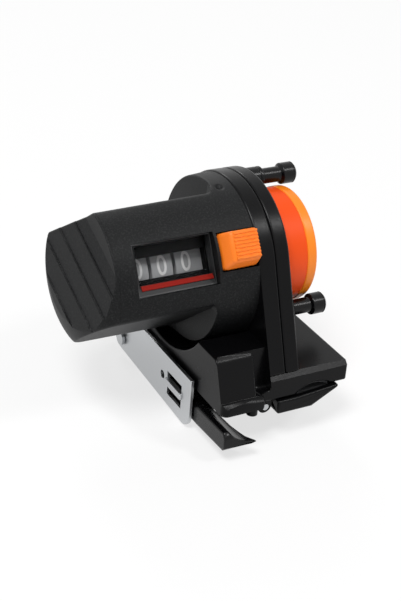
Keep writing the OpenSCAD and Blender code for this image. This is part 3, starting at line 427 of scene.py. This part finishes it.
def lathe(bm, profile, centre=(0.0, 0.0), turns=128):
    """Turns a closed [radius, X] profile about the X axis through the point [Y, Z]."""
    rings = []
    for i in range(turns):
        a = 2 * math.pi * i / turns
        rings.append([
            bm.verts.new((x, centre[0] + r * math.cos(a), centre[1] + r * math.sin(a)))
            for r, x in profile
        ])
    for i in range(turns):
        here, there = rings[i], rings[(i + 1) % turns]
        for j in range(len(profile)):
            k = (j + 1) % len(profile)
            if profile[j][0] or profile[k][0]:
                bm.faces.new((here[j], here[k], there[k], there[j]))
    bmesh.ops.remove_doubles(bm, verts=bm.verts, dist=1e-4)
    return bm


def box(bm, low, high):
    """Adds an upright box between two corners."""
    size = [b - a for a, b in zip(low, high)]
    middle = [(a + b) / 2 for a, b in zip(low, high)]
    place = Matrix.Translation(middle) @ Matrix.Diagonal((*size, 1))
    bmesh.ops.create_cube(bm, size=1, matrix=place)


def smooth_max(a, b, k):
    """The larger of two fields, with their meeting line rounded over about k."""
    h = np.clip(0.5 + 0.5 * (a - b) / k, 0, 1)
    return b + (a - b) * h + k * h * (1 - h)


def scooped(field, x, y, z, inset):
    """Cuts the two finger scoops out of a field that is negative inside the barrel."""
    r = SCOOP_CORNER_R + inset
    for angle, floor_d, end_x in SCOOPS:
        a = math.radians(angle)
        height = -y * math.cos(a) + z * math.sin(a)
        across = np.abs(y * math.sin(a) + z * math.cos(a))
        half = math.sqrt(DRUM_R**2 - floor_d**2) + inset
        past_end, past_side = x - (end_x + inset - r), across - (half - r)
        plan = np.hypot(np.maximum(past_end, 0), np.maximum(past_side, 0)) - r
        plan = plan + np.minimum(np.maximum(past_end, past_side), 0)
        space = smooth_max(floor_d - inset - height, plan, SCOOP_SOFT)
        field = smooth_max(field, -space, SCOOP_SOFT)
    return field


def barrel_field(x, y, z, inner=False):
    """Negative inside the tapering barrel with its scoops and the small dimple, or inside
    its hollow."""
    taper = DRUM_R + (NOSE_R - DRUM_R) * (-UPRIGHT_T - x) / BARREL_LEN
    if inner:
        return scooped(np.hypot(y, z) - (taper - WALL), x, y, z, SCOOP_WALL)
    field = scooped(np.hypot(y, z) - taper, x, y, z, 0.0)
    dimple_y, dimple_z = polar(DRUM_R + 0.1, FACE_ANGLE + 52)
    dimple = DIMPLE_R - np.sqrt(
        (x + UPRIGHT_T + 3.6) ** 2 + (y - dimple_y) ** 2 + (z - dimple_z) ** 2
    )
    return smooth_max(field, dimple, 0.3)


def nose_field(x, y, z):
    """Negative inside the domed nose, whose end runs out in four shallow grip steps."""
    along = np.clip((CAP_X - x) / CAP_LEN, 0, 1)
    dome = NOSE_R * (1 - along**2.222) ** 0.4
    field = np.maximum(np.hypot(y, z) - dome, CAP_X - CAP_LEN - x)
    roll = math.radians(STEP_ROLL)
    up = -y * math.sin(roll) + z * math.cos(roll)
    slope = (STEP_RUN + STEP_DEPTH) / STEP_H
    shoulder = 0.6
    beyond = 25.0
    heights = [beyond, FIRST_STEP + (FIRST_LEN - shoulder) / slope]
    places = [CAP_X - shoulder] * 2
    for i in range(STEPS):
        here = CAP_X - FIRST_LEN - i * STEP_H * slope
        edge = FIRST_STEP - i * STEP_H
        heights += [edge + 0.2, edge, edge - 0.06]
        places += [here + 0.05, here + 0.25, here - STEP_DEPTH]
    heights.append(-beyond)
    places.append(CAP_X - CAP_LEN)
    steps = np.interp(-up, [-h for h in heights], places)
    field = smooth_max(field, steps - x, 0.12)
    return scooped(field, x, y, z, 0.0)


def outermost(field, start, way, far, near):
    """Distance along rays to the outermost place where a field turns negative."""
    tries = np.linspace(far, near, 60)
    inside = np.stack([field(*(start[i] + way[i] * t for i in range(3))) < 0 for t in tries])
    first = np.maximum(inside.argmax(0), 1)
    high, low = tries[first - 1], tries[first]
    for _ in range(26):
        middle = (high + low) / 2
        within = field(*(start[i] + way[i] * middle for i in range(3))) < 0
        low, high = np.where(within, middle, low), np.where(within, high, middle)
    return low


def grid_faces(bm, rows):
    """Faces between rows of vertices that each close into a ring."""
    for a, b in zip(rows, rows[1:]):
        n = len(a)
        for j in range(n):
            bm.faces.new((a[j], a[(j + 1) % n], b[(j + 1) % n], b[j]))


def barrel_rings(inner, xs, angles):
    """Rings of the barrel's outer or inner surface."""
    x, a = np.meshgrid(xs, np.radians(angles), indexing="ij")
    start = (x, np.zeros_like(x), np.zeros_like(x))
    way = (np.zeros_like(x), -np.cos(a), np.sin(a))
    r = outermost(lambda *p: barrel_field(*p, inner=inner), start, way, DRUM_R + 1, 10)
    return np.stack([x, r * way[1], r * way[2]], axis=-1)


def cut_by(made, cutter):
    """Cuts a box-shaped piece out of another and drops it."""
    cut = made.modifiers.new("opening", "BOOLEAN")
    cut.operation = "DIFFERENCE"
    cut.solver = "EXACT"
    cut.object = cutter
    graph = bpy.context.evaluated_depsgraph_get()
    mesh = bpy.data.meshes.new_from_object(made.evaluated_get(graph))
    made.modifiers.clear()
    made.data = mesh
    bpy.data.objects.remove(cutter)


def loose(name, bm):
    """A helper object in the part's frame that isn't kept."""
    mesh = bpy.data.meshes.new(name)
    bm.to_mesh(mesh)
    bm.free()
    mesh.transform(TO_PART)
    made = bpy.data.objects.new(name, mesh)
    bpy.context.scene.collection.objects.link(made)
    return made


def out_block(angle, x_from, x_to, low, high, w):
    """A box on the ray at an angle up from the front."""
    bm = bmesh.new()
    box(bm, (x_from, -high, -w / 2), (x_to, -low, w / 2))
    bm.transform(Matrix.Rotation(math.radians(-angle), 4, "X"))
    return bm


class CounterSizes(bpy.types.PropertyGroup):
    """Sizes of the looks, in millimetres."""

    edge: bpy.props.FloatProperty(
        name="Moulded edge", description="Rounding of the moulded edges",
        default=0.6, min=0.05, max=1.0,
    )
    sheet_edge: bpy.props.FloatProperty(
        name="Sheet edge", description="Rounding of the pressed steel's edges",
        default=0.16, min=0.02, max=0.4,
    )
    digit_h: bpy.props.FloatProperty(
        name="Digit height", description="Height of the numbers on the wheels",
        default=5.3, min=4.0, max=7.5,
    )
    digit_w: bpy.props.FloatProperty(
        name="Digit width", description="Width of the numbers on the wheels",
        default=3.5, min=2.0, max=5.0,
    )


class CounterColours(bpy.types.PropertyGroup):
    """Colours of the pieces."""

    barrel: bpy.props.FloatVectorProperty(
        name="Barrel", description="Textured black of the barrel",
        subtype="COLOR", default=linear("#0b0c0d")[:3],
    )
    base: bpy.props.FloatVectorProperty(
        name="Base", description="Black of the base and the clamp",
        subtype="COLOR", default=linear("#050506")[:3],
    )
    wheel: bpy.props.FloatVectorProperty(
        name="Wheel", description="Orange of the measuring wheel",
        subtype="COLOR", default=linear("#ff8a1c")[:3],
    )
    # The tread's red-orange is the wheel's orange painted deeper, as shade in the groove
    tread: bpy.props.FloatVectorProperty(
        name="Tread", description="Red-orange of the tread",
        subtype="COLOR", default=linear("#f04e0a")[:3],
    )
    button: bpy.props.FloatVectorProperty(
        name="Button", description="Orange of the reset button",
        subtype="COLOR", default=linear("#f97c1a")[:3],
    )
    bezel: bpy.props.FloatVectorProperty(
        name="Window frame", description="Grey of the window frame",
        subtype="COLOR", default=linear("#1d1e1f")[:3],
    )
    index: bpy.props.FloatVectorProperty(
        name="Index", description="Red strip under the numbers",
        subtype="COLOR", default=linear("#861a12")[:3],
    )
    number: bpy.props.FloatVectorProperty(
        name="Number wheels", description="Grey of the number wheels",
        subtype="COLOR", default=linear("#b4b5b7")[:3],
    )
    steel: bpy.props.FloatVectorProperty(
        name="Steel", description="Pressed steel of the lever",
        subtype="COLOR", default=linear("#bcbec0")[:3],
    )


class COUNTER_OT_barrel(bpy.types.Operator):
    """Makes the barrel with its scoops, window and button openings, and the stepped nose"""

    bl_idname = "counter.barrel"
    bl_label = "Barrel and Nose"

    def execute(self, context):
        xs = np.linspace(-UPRIGHT_T, CAP_X + 0.05, 170)
        angles = np.arange(0, 360, 1.2)
        bm = bmesh.new()
        skins = []
        for inner in (False, True):
            rows = barrel_rings(inner, xs, angles)
            skins.append([[bm.verts.new(p) for p in ring] for ring in rows])
        outer, inner = skins
        grid_faces(bm, outer)
        grid_faces(bm, inner)
        grid_faces(bm, [outer[0], inner[0]])
        grid_faces(bm, [outer[-1], inner[-1]])
        barrel = piece("barrel", bm, "frame", "barrel", ("counter_housing",))
        gap, outside = 0.03, 40
        half = WINDOW_LEN / 2 + gap
        window = out_block(
            FACE_ANGLE, WINDOW_X - half, WINDOW_X + half, LENS_D, outside, WINDOW_H + 2 * gap
        )
        cut_by(barrel, loose("window_space", window))
        button = out_block(
            BUTTON_ANGLE, BUTTON_X - BUTTON_GAP, -UPRIGHT_T + 1,
            BUTTON_DEEP, outside, BUTTON_W + 2 * BUTTON_GAP,
        )
        cut_by(barrel, loose("button_space", button))
        inset = 0.04
        wall = out_block(
            FACE_ANGLE, WINDOW_X + half + inset, BUTTON_X - BUTTON_GAP - inset,
            *PARTING_WALL, WINDOW_H,
        )
        self.join_wall(barrel, loose("wall", wall))
        barrel.data.set_sharp_from_angle(angle=math.radians(40))
        self.nose()
        return {"FINISHED"}

    def join_wall(self, barrel, wall):
        """Joins the wall that parts the window from the button's space to the barrel."""
        bm = bmesh.new()
        bm.from_mesh(barrel.data)
        bm.from_mesh(wall.data)
        bm.to_mesh(barrel.data)
        bm.free()
        bpy.data.objects.remove(wall)

    def nose(self):
        """The nose as rays from a point on the axis to its surface."""
        behind, far, near = 14.0, 34, 8
        angles = np.radians(np.arange(0, 360, 0.8))
        zero = np.zeros_like(angles)
        edge_way = (zero, -np.cos(angles), np.sin(angles))
        edge = outermost(nose_field, (zero + CAP_X, zero, zero), edge_way, NOSE_R + 1, 10)
        share, _ = np.meshgrid(np.linspace(0, 1, 220)[1:], angles, indexing="ij")
        tilt = share * np.arctan2(edge, behind)[None, :]
        way = (-np.cos(tilt), -np.sin(tilt) * np.cos(angles), np.sin(tilt) * np.sin(angles))
        start = (np.full_like(tilt, CAP_X + behind), np.zeros_like(tilt), np.zeros_like(tilt))
        r = outermost(nose_field, start, way, far, near)
        bm = bmesh.new()
        rows = []
        for i in range(len(r)):
            rows.append([
                bm.verts.new(tuple(start[k][i, j] + way[k][i, j] * r[i, j] for k in range(3)))
                for j in range(len(angles))
            ])
        grid_faces(bm, rows)
        middle = outermost(
            nose_field, (CAP_X + behind, 0.0, 0.0), (-1.0, 0.0, 0.0), far, near
        )
        tip = bm.verts.new((CAP_X + behind - float(middle), 0, 0))
        for j in range(len(angles)):
            bm.faces.new((tip, rows[0][j], rows[0][(j + 1) % len(angles)]))
        bm.faces.new(rows[-1])
        piece("nose", bm, "frame", "barrel", ("end_cap",), sharp=50)


class COUNTER_OT_display(bpy.types.Operator):
    """Makes the window frame, and the numbers on their wheels"""

    bl_idname = "counter.display"
    bl_label = "Display"

    def execute(self, context):
        sizes = context.scene.counter_sizes
        # The numbers sit a little above the middle of the window, as in the photograph
        zero_angle = FACE_ANGLE + 1.4
        dressed("window_bezel", "bezel", 0.14, 2)
        paint("index", "index_strip")
        paint("clear", "window_lens")
        # The black sheet above the numbers is painted shade for the window's recess
        paint("mask", "number_mask")
        paint("number", "units_wheel", "tens_wheel", "hundreds_wheel")
        for body, x in NUMBER_WHEELS:
            bm = bmesh.new()
            for value in range(10):
                self.digit(bm, str(value), x, zero_angle + 36 * value, sizes)
            piece(body + "_digits", bm, body, "digit")
        return {"FINISHED"}

    def digit(self, bm, text, x, angle, sizes):
        """Adds one number, wrapped round its wheel."""
        zero_shape = 0.58 / 0.7
        ink = 0.04
        curve = bpy.data.curves.new("digit", "FONT")
        curve.body = text
        curve.resolution_u = 6
        curve.offset = 0.01
        holder = bpy.data.objects.new("digit", curve)
        bpy.context.scene.collection.objects.link(holder)
        graph = bpy.context.evaluated_depsgraph_get()
        flat = bpy.data.meshes.new_from_object(holder.evaluated_get(graph))
        bpy.data.objects.remove(holder)
        part = bmesh.new()
        part.from_mesh(flat)
        bpy.data.meshes.remove(flat)
        low = [min(v.co[i] for v in part.verts) for i in (0, 1)]
        high = [max(v.co[i] for v in part.verts) for i in (0, 1)]
        tall = high[1] - low[1]
        for v in part.verts:
            v.co.x = (v.co.x - (low[0] + high[0]) / 2) / (zero_shape * tall) * sizes.digit_w
            v.co.y = ((v.co.y - low[1]) / tall - 0.5) * sizes.digit_h
        for cut in np.arange(-0.45, 0.46, 0.1):
            bmesh.ops.bisect_plane(
                part, geom=part.verts[:] + part.edges[:] + part.faces[:],
                plane_co=(0, cut * sizes.digit_h, 0), plane_no=(0, 1, 0),
            )
        made = {}
        for v in part.verts:
            y, z = polar(NUMBER_R + ink, angle + math.degrees(v.co.y / NUMBER_R))
            made[v] = bm.verts.new((x + v.co.x, y, z))
        for f in part.faces:
            bm.faces.new([made[v] for v in f.verts])
        part.free()


class COUNTER_OT_button(bpy.types.Operator):
    """Makes the ribbed reset button with its sloping left end and front"""

    bl_idname = "counter.button"
    bl_label = "Reset Button"

    def execute(self, context):
        bm = bmesh.new()
        slope_x, slope_z, slope_d, half = 2.1, 1.7, 3.8, BUTTON_W / 2
        right = BUTTON_X + BUTTON_LEN
        loops = []
        for d, left, low in (
            (BUTTON_DEEP, BUTTON_X, -half), (BUTTON_TOP - slope_d, BUTTON_X, -half),
            (BUTTON_TOP - RIDGE_H, BUTTON_X + slope_x, -half + slope_z),
        ):
            corners = ((left, low), (right, low), (right, half), (left, half))
            loops.append([bm.verts.new((x, -d, z)) for x, z in corners])
        grid_faces(bm, loops)
        bm.faces.new(loops[0])
        bm.faces.new(loops[-1])
        bmesh.ops.recalc_face_normals(bm, faces=bm.faces)
        edges = [e for e in bm.edges if min(v.co.y for v in e.verts) < -BUTTON_DEEP - 5]
        bmesh.ops.bevel(
            bm, geom=edges, offset=BUTTON_ROUND, segments=5, profile=0.5, affect="EDGES",
            clamp_overlap=True,
        )
        margin = 0.3
        self.ridges(
            bm, (BUTTON_X + slope_x + 0.5, right - 0.15), (-half + slope_z + margin, half - margin)
        )
        bm.transform(Matrix.Rotation(math.radians(-BUTTON_ANGLE), 4, "X"))
        piece("ribbed_button", bm, "button", "button", ("reset_button",), sharp=40)
        return {"FINISHED"}

    def ridges(self, bm, x_span, z_span, count=8):
        """Adds slightly wavy ridges along X as one sheet whose border dips into the button."""
        columns, per_ridge, dip = 40, 10, 0.8
        pitch = (z_span[1] - z_span[0]) / count
        rows = []
        for i in range(columns + 1):
            x = x_span[0] + (x_span[1] - x_span[0]) * i / columns
            row = []
            for j in range(count * per_ridge + 1):
                z = z_span[0] + pitch * j / per_ridge
                wave = 0.06 * math.sin(2 * math.pi * (x / 2.6 + j / 27))
                wave += 0.04 * math.sin(5.3 * x + j)
                turn = 2 * math.pi * (z - z_span[0] + wave) / pitch
                lift = RIDGE_H * (0.5 - 0.5 * math.cos(turn))
                border = i in (0, columns) or j in (0, count * per_ridge)
                depth = dip if border else RIDGE_H - lift
                row.append(bm.verts.new((x, -BUTTON_TOP + depth, z)))
            rows.append(row)
        for a, b in zip(rows, rows[1:]):
            for j in range(len(a) - 1):
                bm.faces.new((a[j], a[j + 1], b[j + 1], b[j]))


class COUNTER_OT_wheel(bpy.types.Operator):
    """Makes the measuring wheel with its rim, and its tread"""

    bl_idname = "counter.wheel"
    bl_label = "Measuring Wheel"

    def execute(self, context):
        left, tread_x = COVER_T + 0.9, COVER_T + 1.4
        rim_x = tread_x + TREAD_W
        end_x = rim_x + RIM_W
        hub_end = end_x - 1.5
        core = TREAD_R - TREAD_T
        rim_in = core - RIM_T
        web_left, web_right = (left + side for side in WEB_SPAN)
        bm = lathe(bmesh.new(), [
            (WHEEL_BORE_R, left), (HUB_R, left), (HUB_R, web_left), (rim_in, web_left),
            (rim_in, left), (TREAD_R, left), (TREAD_R, tread_x), (core, tread_x), (core, rim_x),
            (TREAD_R, rim_x), (EDGE_R, rim_x + 0.6), (EDGE_R, end_x - 0.6),
            (EDGE_R - 0.3, end_x - 0.15), (EDGE_R - 1.2, end_x), (rim_in, end_x),
            (rim_in, web_right), (HUB_R, web_right), (HUB_R, hub_end), (WHEEL_BORE_R, hub_end),
        ])
        rounded(piece("rimmed_wheel", bm, "wheel", "orange", ("measuring_wheel",)), 0.25)
        gap = 0.02
        # The tread band takes the deeper red-orange that is painted shade in the groove
        bm = lathe(bmesh.new(), [
            (core + gap, tread_x + gap), (TREAD_R, tread_x + gap),
            (TREAD_R, rim_x - gap), (core + gap, rim_x - gap),
        ])
        rounded(piece("tread_band_painted_shade", bm, "wheel", "tread", ("wheel_tread",)), 0.2)
        return {"FINISHED"}


class COUNTER_OT_posts(bpy.types.Operator):
    """Makes the two spools that lead the line over the wheel"""

    bl_idname = "counter.posts"
    bl_label = "Guide Posts"

    def execute(self, context):
        start, end = COVER_T, COVER_T + POST_LEN
        foot, collar, bore_end = start + FOOT_LEN, end - HEAD_LEN, start + POST_BORE_LEN
        groove = COLLAR_R - 0.14
        for node, angle in POSTS:
            bm = lathe(bmesh.new(), [
                (POST_BORE_R, start), (COLLAR_R, start), (COLLAR_R, foot - 1.2),
                (groove, foot - 1.1), (groove, foot - 0.9), (COLLAR_R, foot - 0.8),
                (COLLAR_R, foot), (POST_R, foot + 0.6), (POST_R, collar - 0.6),
                (COLLAR_R, collar), (COLLAR_R, end - 1.0), (groove, end - 0.9),
                (groove, end - 0.75), (COLLAR_R, end - 0.65), (COLLAR_R, end - 0.6),
                (COLLAR_R - 0.6, end), (0.0, end), (0.0, bore_end), (POST_BORE_R, bore_end),
            ], polar(POST_D, angle), 72)
            rounded(piece("turned_" + node, bm, "frame", "gloss", (node,)), 0.12, 2)
        return {"FINISHED"}


class COUNTER_OT_base(bpy.types.Operator):
    """Rounds the edges of the base with its upright, and of the cover"""

    bl_idname = "counter.base"
    bl_label = "Base and Cover"

    def execute(self, context):
        edge = context.scene.counter_sizes.edge
        dressed("frame_base", "base", edge)
        dressed("wheel_cover", "base", edge)
        paint("steel", "cover_screws", "housing_screws", "guide_post_screws")
        paint("base", "stop_stud")
        paint("pad", "upper_rod_pad")
        return {"FINISHED"}


class COUNTER_OT_clamp(bpy.types.Operator):
    """Rounds the edges of the jaw, the steel channel and the thumb lever"""

    bl_idname = "counter.clamp"
    bl_label = "Rod Clamp"

    def execute(self, context):
        sizes = context.scene.counter_sizes
        dressed("lower_jaw", "base", sizes.edge)
        dressed("lever_channel", "strip", sizes.sheet_edge)
        dressed("thumb_lever", "gloss", sizes.edge)
        paint("pad", "lower_rod_pad")
        paint("steel", "jaw_pin", "lever_pin", "lever_screw", "jaw_spring", "lever_spring")
        return {"FINISHED"}


class COUNTER_OT_movement(bpy.types.Operator):
    """Gives the gears, shafts and plates inside their materials"""

    bl_idname = "counter.movement"
    bl_label = "Movement"

    def execute(self, context):
        paint("gear", "first_gear", "second_gear", "third_gear", "units_gear")
        paint(
            "steel", "number_arbor", "lay_shaft", "carry_shaft", "wheel_shaft", "wheel_screw",
            "reset_spring",
        )
        paint(
            "brass", "drive_pinion", "movement_plate", "movement_pillars", "shaft_bushes",
            "tens_carry_pinion", "hundreds_carry_pinion",
        )
        return {"FINISHED"}


class COUNTER_OT_stage(bpy.types.Operator):
    """Makes the pale floor, the soft light and the camera"""

    bl_idname = "counter.stage"
    bl_label = "Stage"

    def execute(self, context):
        scene = context.scene
        scene.view_settings.view_transform = "Standard"
        self.floor()
        self.world(scene)
        for lamp in LAMPS:
            self.lamp(*lamp)
        lens = bpy.data.cameras.new("camera")
        lens.lens = LENS_MM
        lens.sensor_width = SENSOR_MM
        lens.clip_start = 0.01
        camera = bpy.data.objects.new("camera", lens)
        scene.collection.objects.link(camera)
        turn = Matrix((CAMERA_RIGHT, CAMERA_UP, CAMERA_BACK)).transposed()
        camera.matrix_world = Matrix.Translation(CAMERA_AT) @ turn.to_4x4()
        scene.camera = camera
        return {"FINISHED"}

    def floor(self):
        """A large white sheet just under the lever, part lit and part plain white to the eye, so
        that it keeps a faint shadow."""
        material, tree = blank("paper_white_sheet")
        skin = add(tree, "ShaderNodeBsdfDiffuse", Color=linear("#fafafa"))
        white = add(tree, "ShaderNodeEmission", Color=linear("#ffffff"), Strength=1.0)
        share = add(
            tree, "ShaderNodeMath", [(0, seen_directly(tree), "Value")], operation="MULTIPLY"
        )
        share.inputs[1].default_value = FLOOR_WHITE
        mixed = add(tree, "ShaderNodeMixShader", [("Fac", share, "Value")])
        tree.links.new(skin.outputs["BSDF"], mixed.inputs[1])
        tree.links.new(white.outputs["Emission"], mixed.inputs[2])
        add(tree, "ShaderNodeOutputMaterial", [("Surface", mixed, "Shader")])
        bm = bmesh.new()
        bmesh.ops.create_grid(bm, x_segments=8, y_segments=8, size=3.0)
        mesh = bpy.data.meshes.new("floor")
        bm.to_mesh(mesh)
        bm.free()
        mesh.materials.append(material)
        floor = bpy.data.objects.new("floor", mesh)
        floor.location.z = CAD_BOX[0].z - 0.0004
        bpy.context.scene.collection.objects.link(floor)

    def world(self, scene):
        """White to the eye and a dimmer light on the object, so that its black stays black."""
        world = bpy.data.worlds.new("studio")
        world.use_nodes = True
        tree = world.node_tree
        tree.nodes.clear()
        white = add(tree, "ShaderNodeBackground", Color=linear("#ffffff"), Strength=1.0)
        grey = add(tree, "ShaderNodeBackground", Color=linear("#ffffff"), Strength=WORLD_LIGHT)
        mixed = add(tree, "ShaderNodeMixShader", [("Fac", seen_directly(tree), "Value")])
        tree.links.new(grey.outputs["Background"], mixed.inputs[1])
        tree.links.new(white.outputs["Background"], mixed.inputs[2])
        add(tree, "ShaderNodeOutputWorld", [("Surface", mixed, "Shader")])
        scene.world = world

    def lamp(self, name, place, size, power):
        """A soft square lamp that looks at the object."""
        light = bpy.data.lights.new(name, "AREA")
        light.size = size
        light.energy = power
        lamp = bpy.data.objects.new(name, light)
        lamp.location = place
        way = Vector(LAMP_AIM) - Vector(place)
        lamp.rotation_euler = way.to_track_quat("-Z", "Y").to_euler()
        bpy.context.scene.collection.objects.link(lamp)


OPERATORS = (
    COUNTER_OT_stage, COUNTER_OT_barrel, COUNTER_OT_display, COUNTER_OT_button, COUNTER_OT_wheel,
    COUNTER_OT_posts, COUNTER_OT_base, COUNTER_OT_clamp, COUNTER_OT_movement,
)


class COUNTER_PT_panel(bpy.types.Panel):
    """Lists the steps and what can be changed"""

    bl_idname = "COUNTER_PT_panel"
    bl_label = "Fishing Line Counter"
    bl_space_type = "VIEW_3D"
    bl_region_type = "UI"
    bl_category = "Counter"

    def draw(self, context):
        for operator in OPERATORS:
            self.layout.operator(operator.bl_idname)
        for group in (context.scene.counter_sizes, context.scene.counter_colours):
            column = self.layout.column()
            for name in group.__annotations__:
                column.prop(group, name)


CLASSES = (CounterSizes, CounterColours, *OPERATORS, COUNTER_PT_panel)


def register():
    for cls in CLASSES:
        bpy.utils.register_class(cls)
    bpy.types.Scene.counter_sizes = bpy.props.PointerProperty(type=CounterSizes)
    bpy.types.Scene.counter_colours = bpy.props.PointerProperty(type=CounterColours)


def unregister():
    del bpy.types.Scene.counter_colours
    del bpy.types.Scene.counter_sizes
    for cls in reversed(CLASSES):
        bpy.utils.unregister_class(cls)


def main():
    register()
    bpy.ops.counter.stage()
    bpy.ops.counter.barrel()
    bpy.ops.counter.display()
    bpy.ops.counter.button()
    bpy.ops.counter.wheel()
    bpy.ops.counter.posts()
    bpy.ops.counter.base()
    bpy.ops.counter.clamp()
    bpy.ops.counter.movement()


if __name__ == "__main__":
    main()
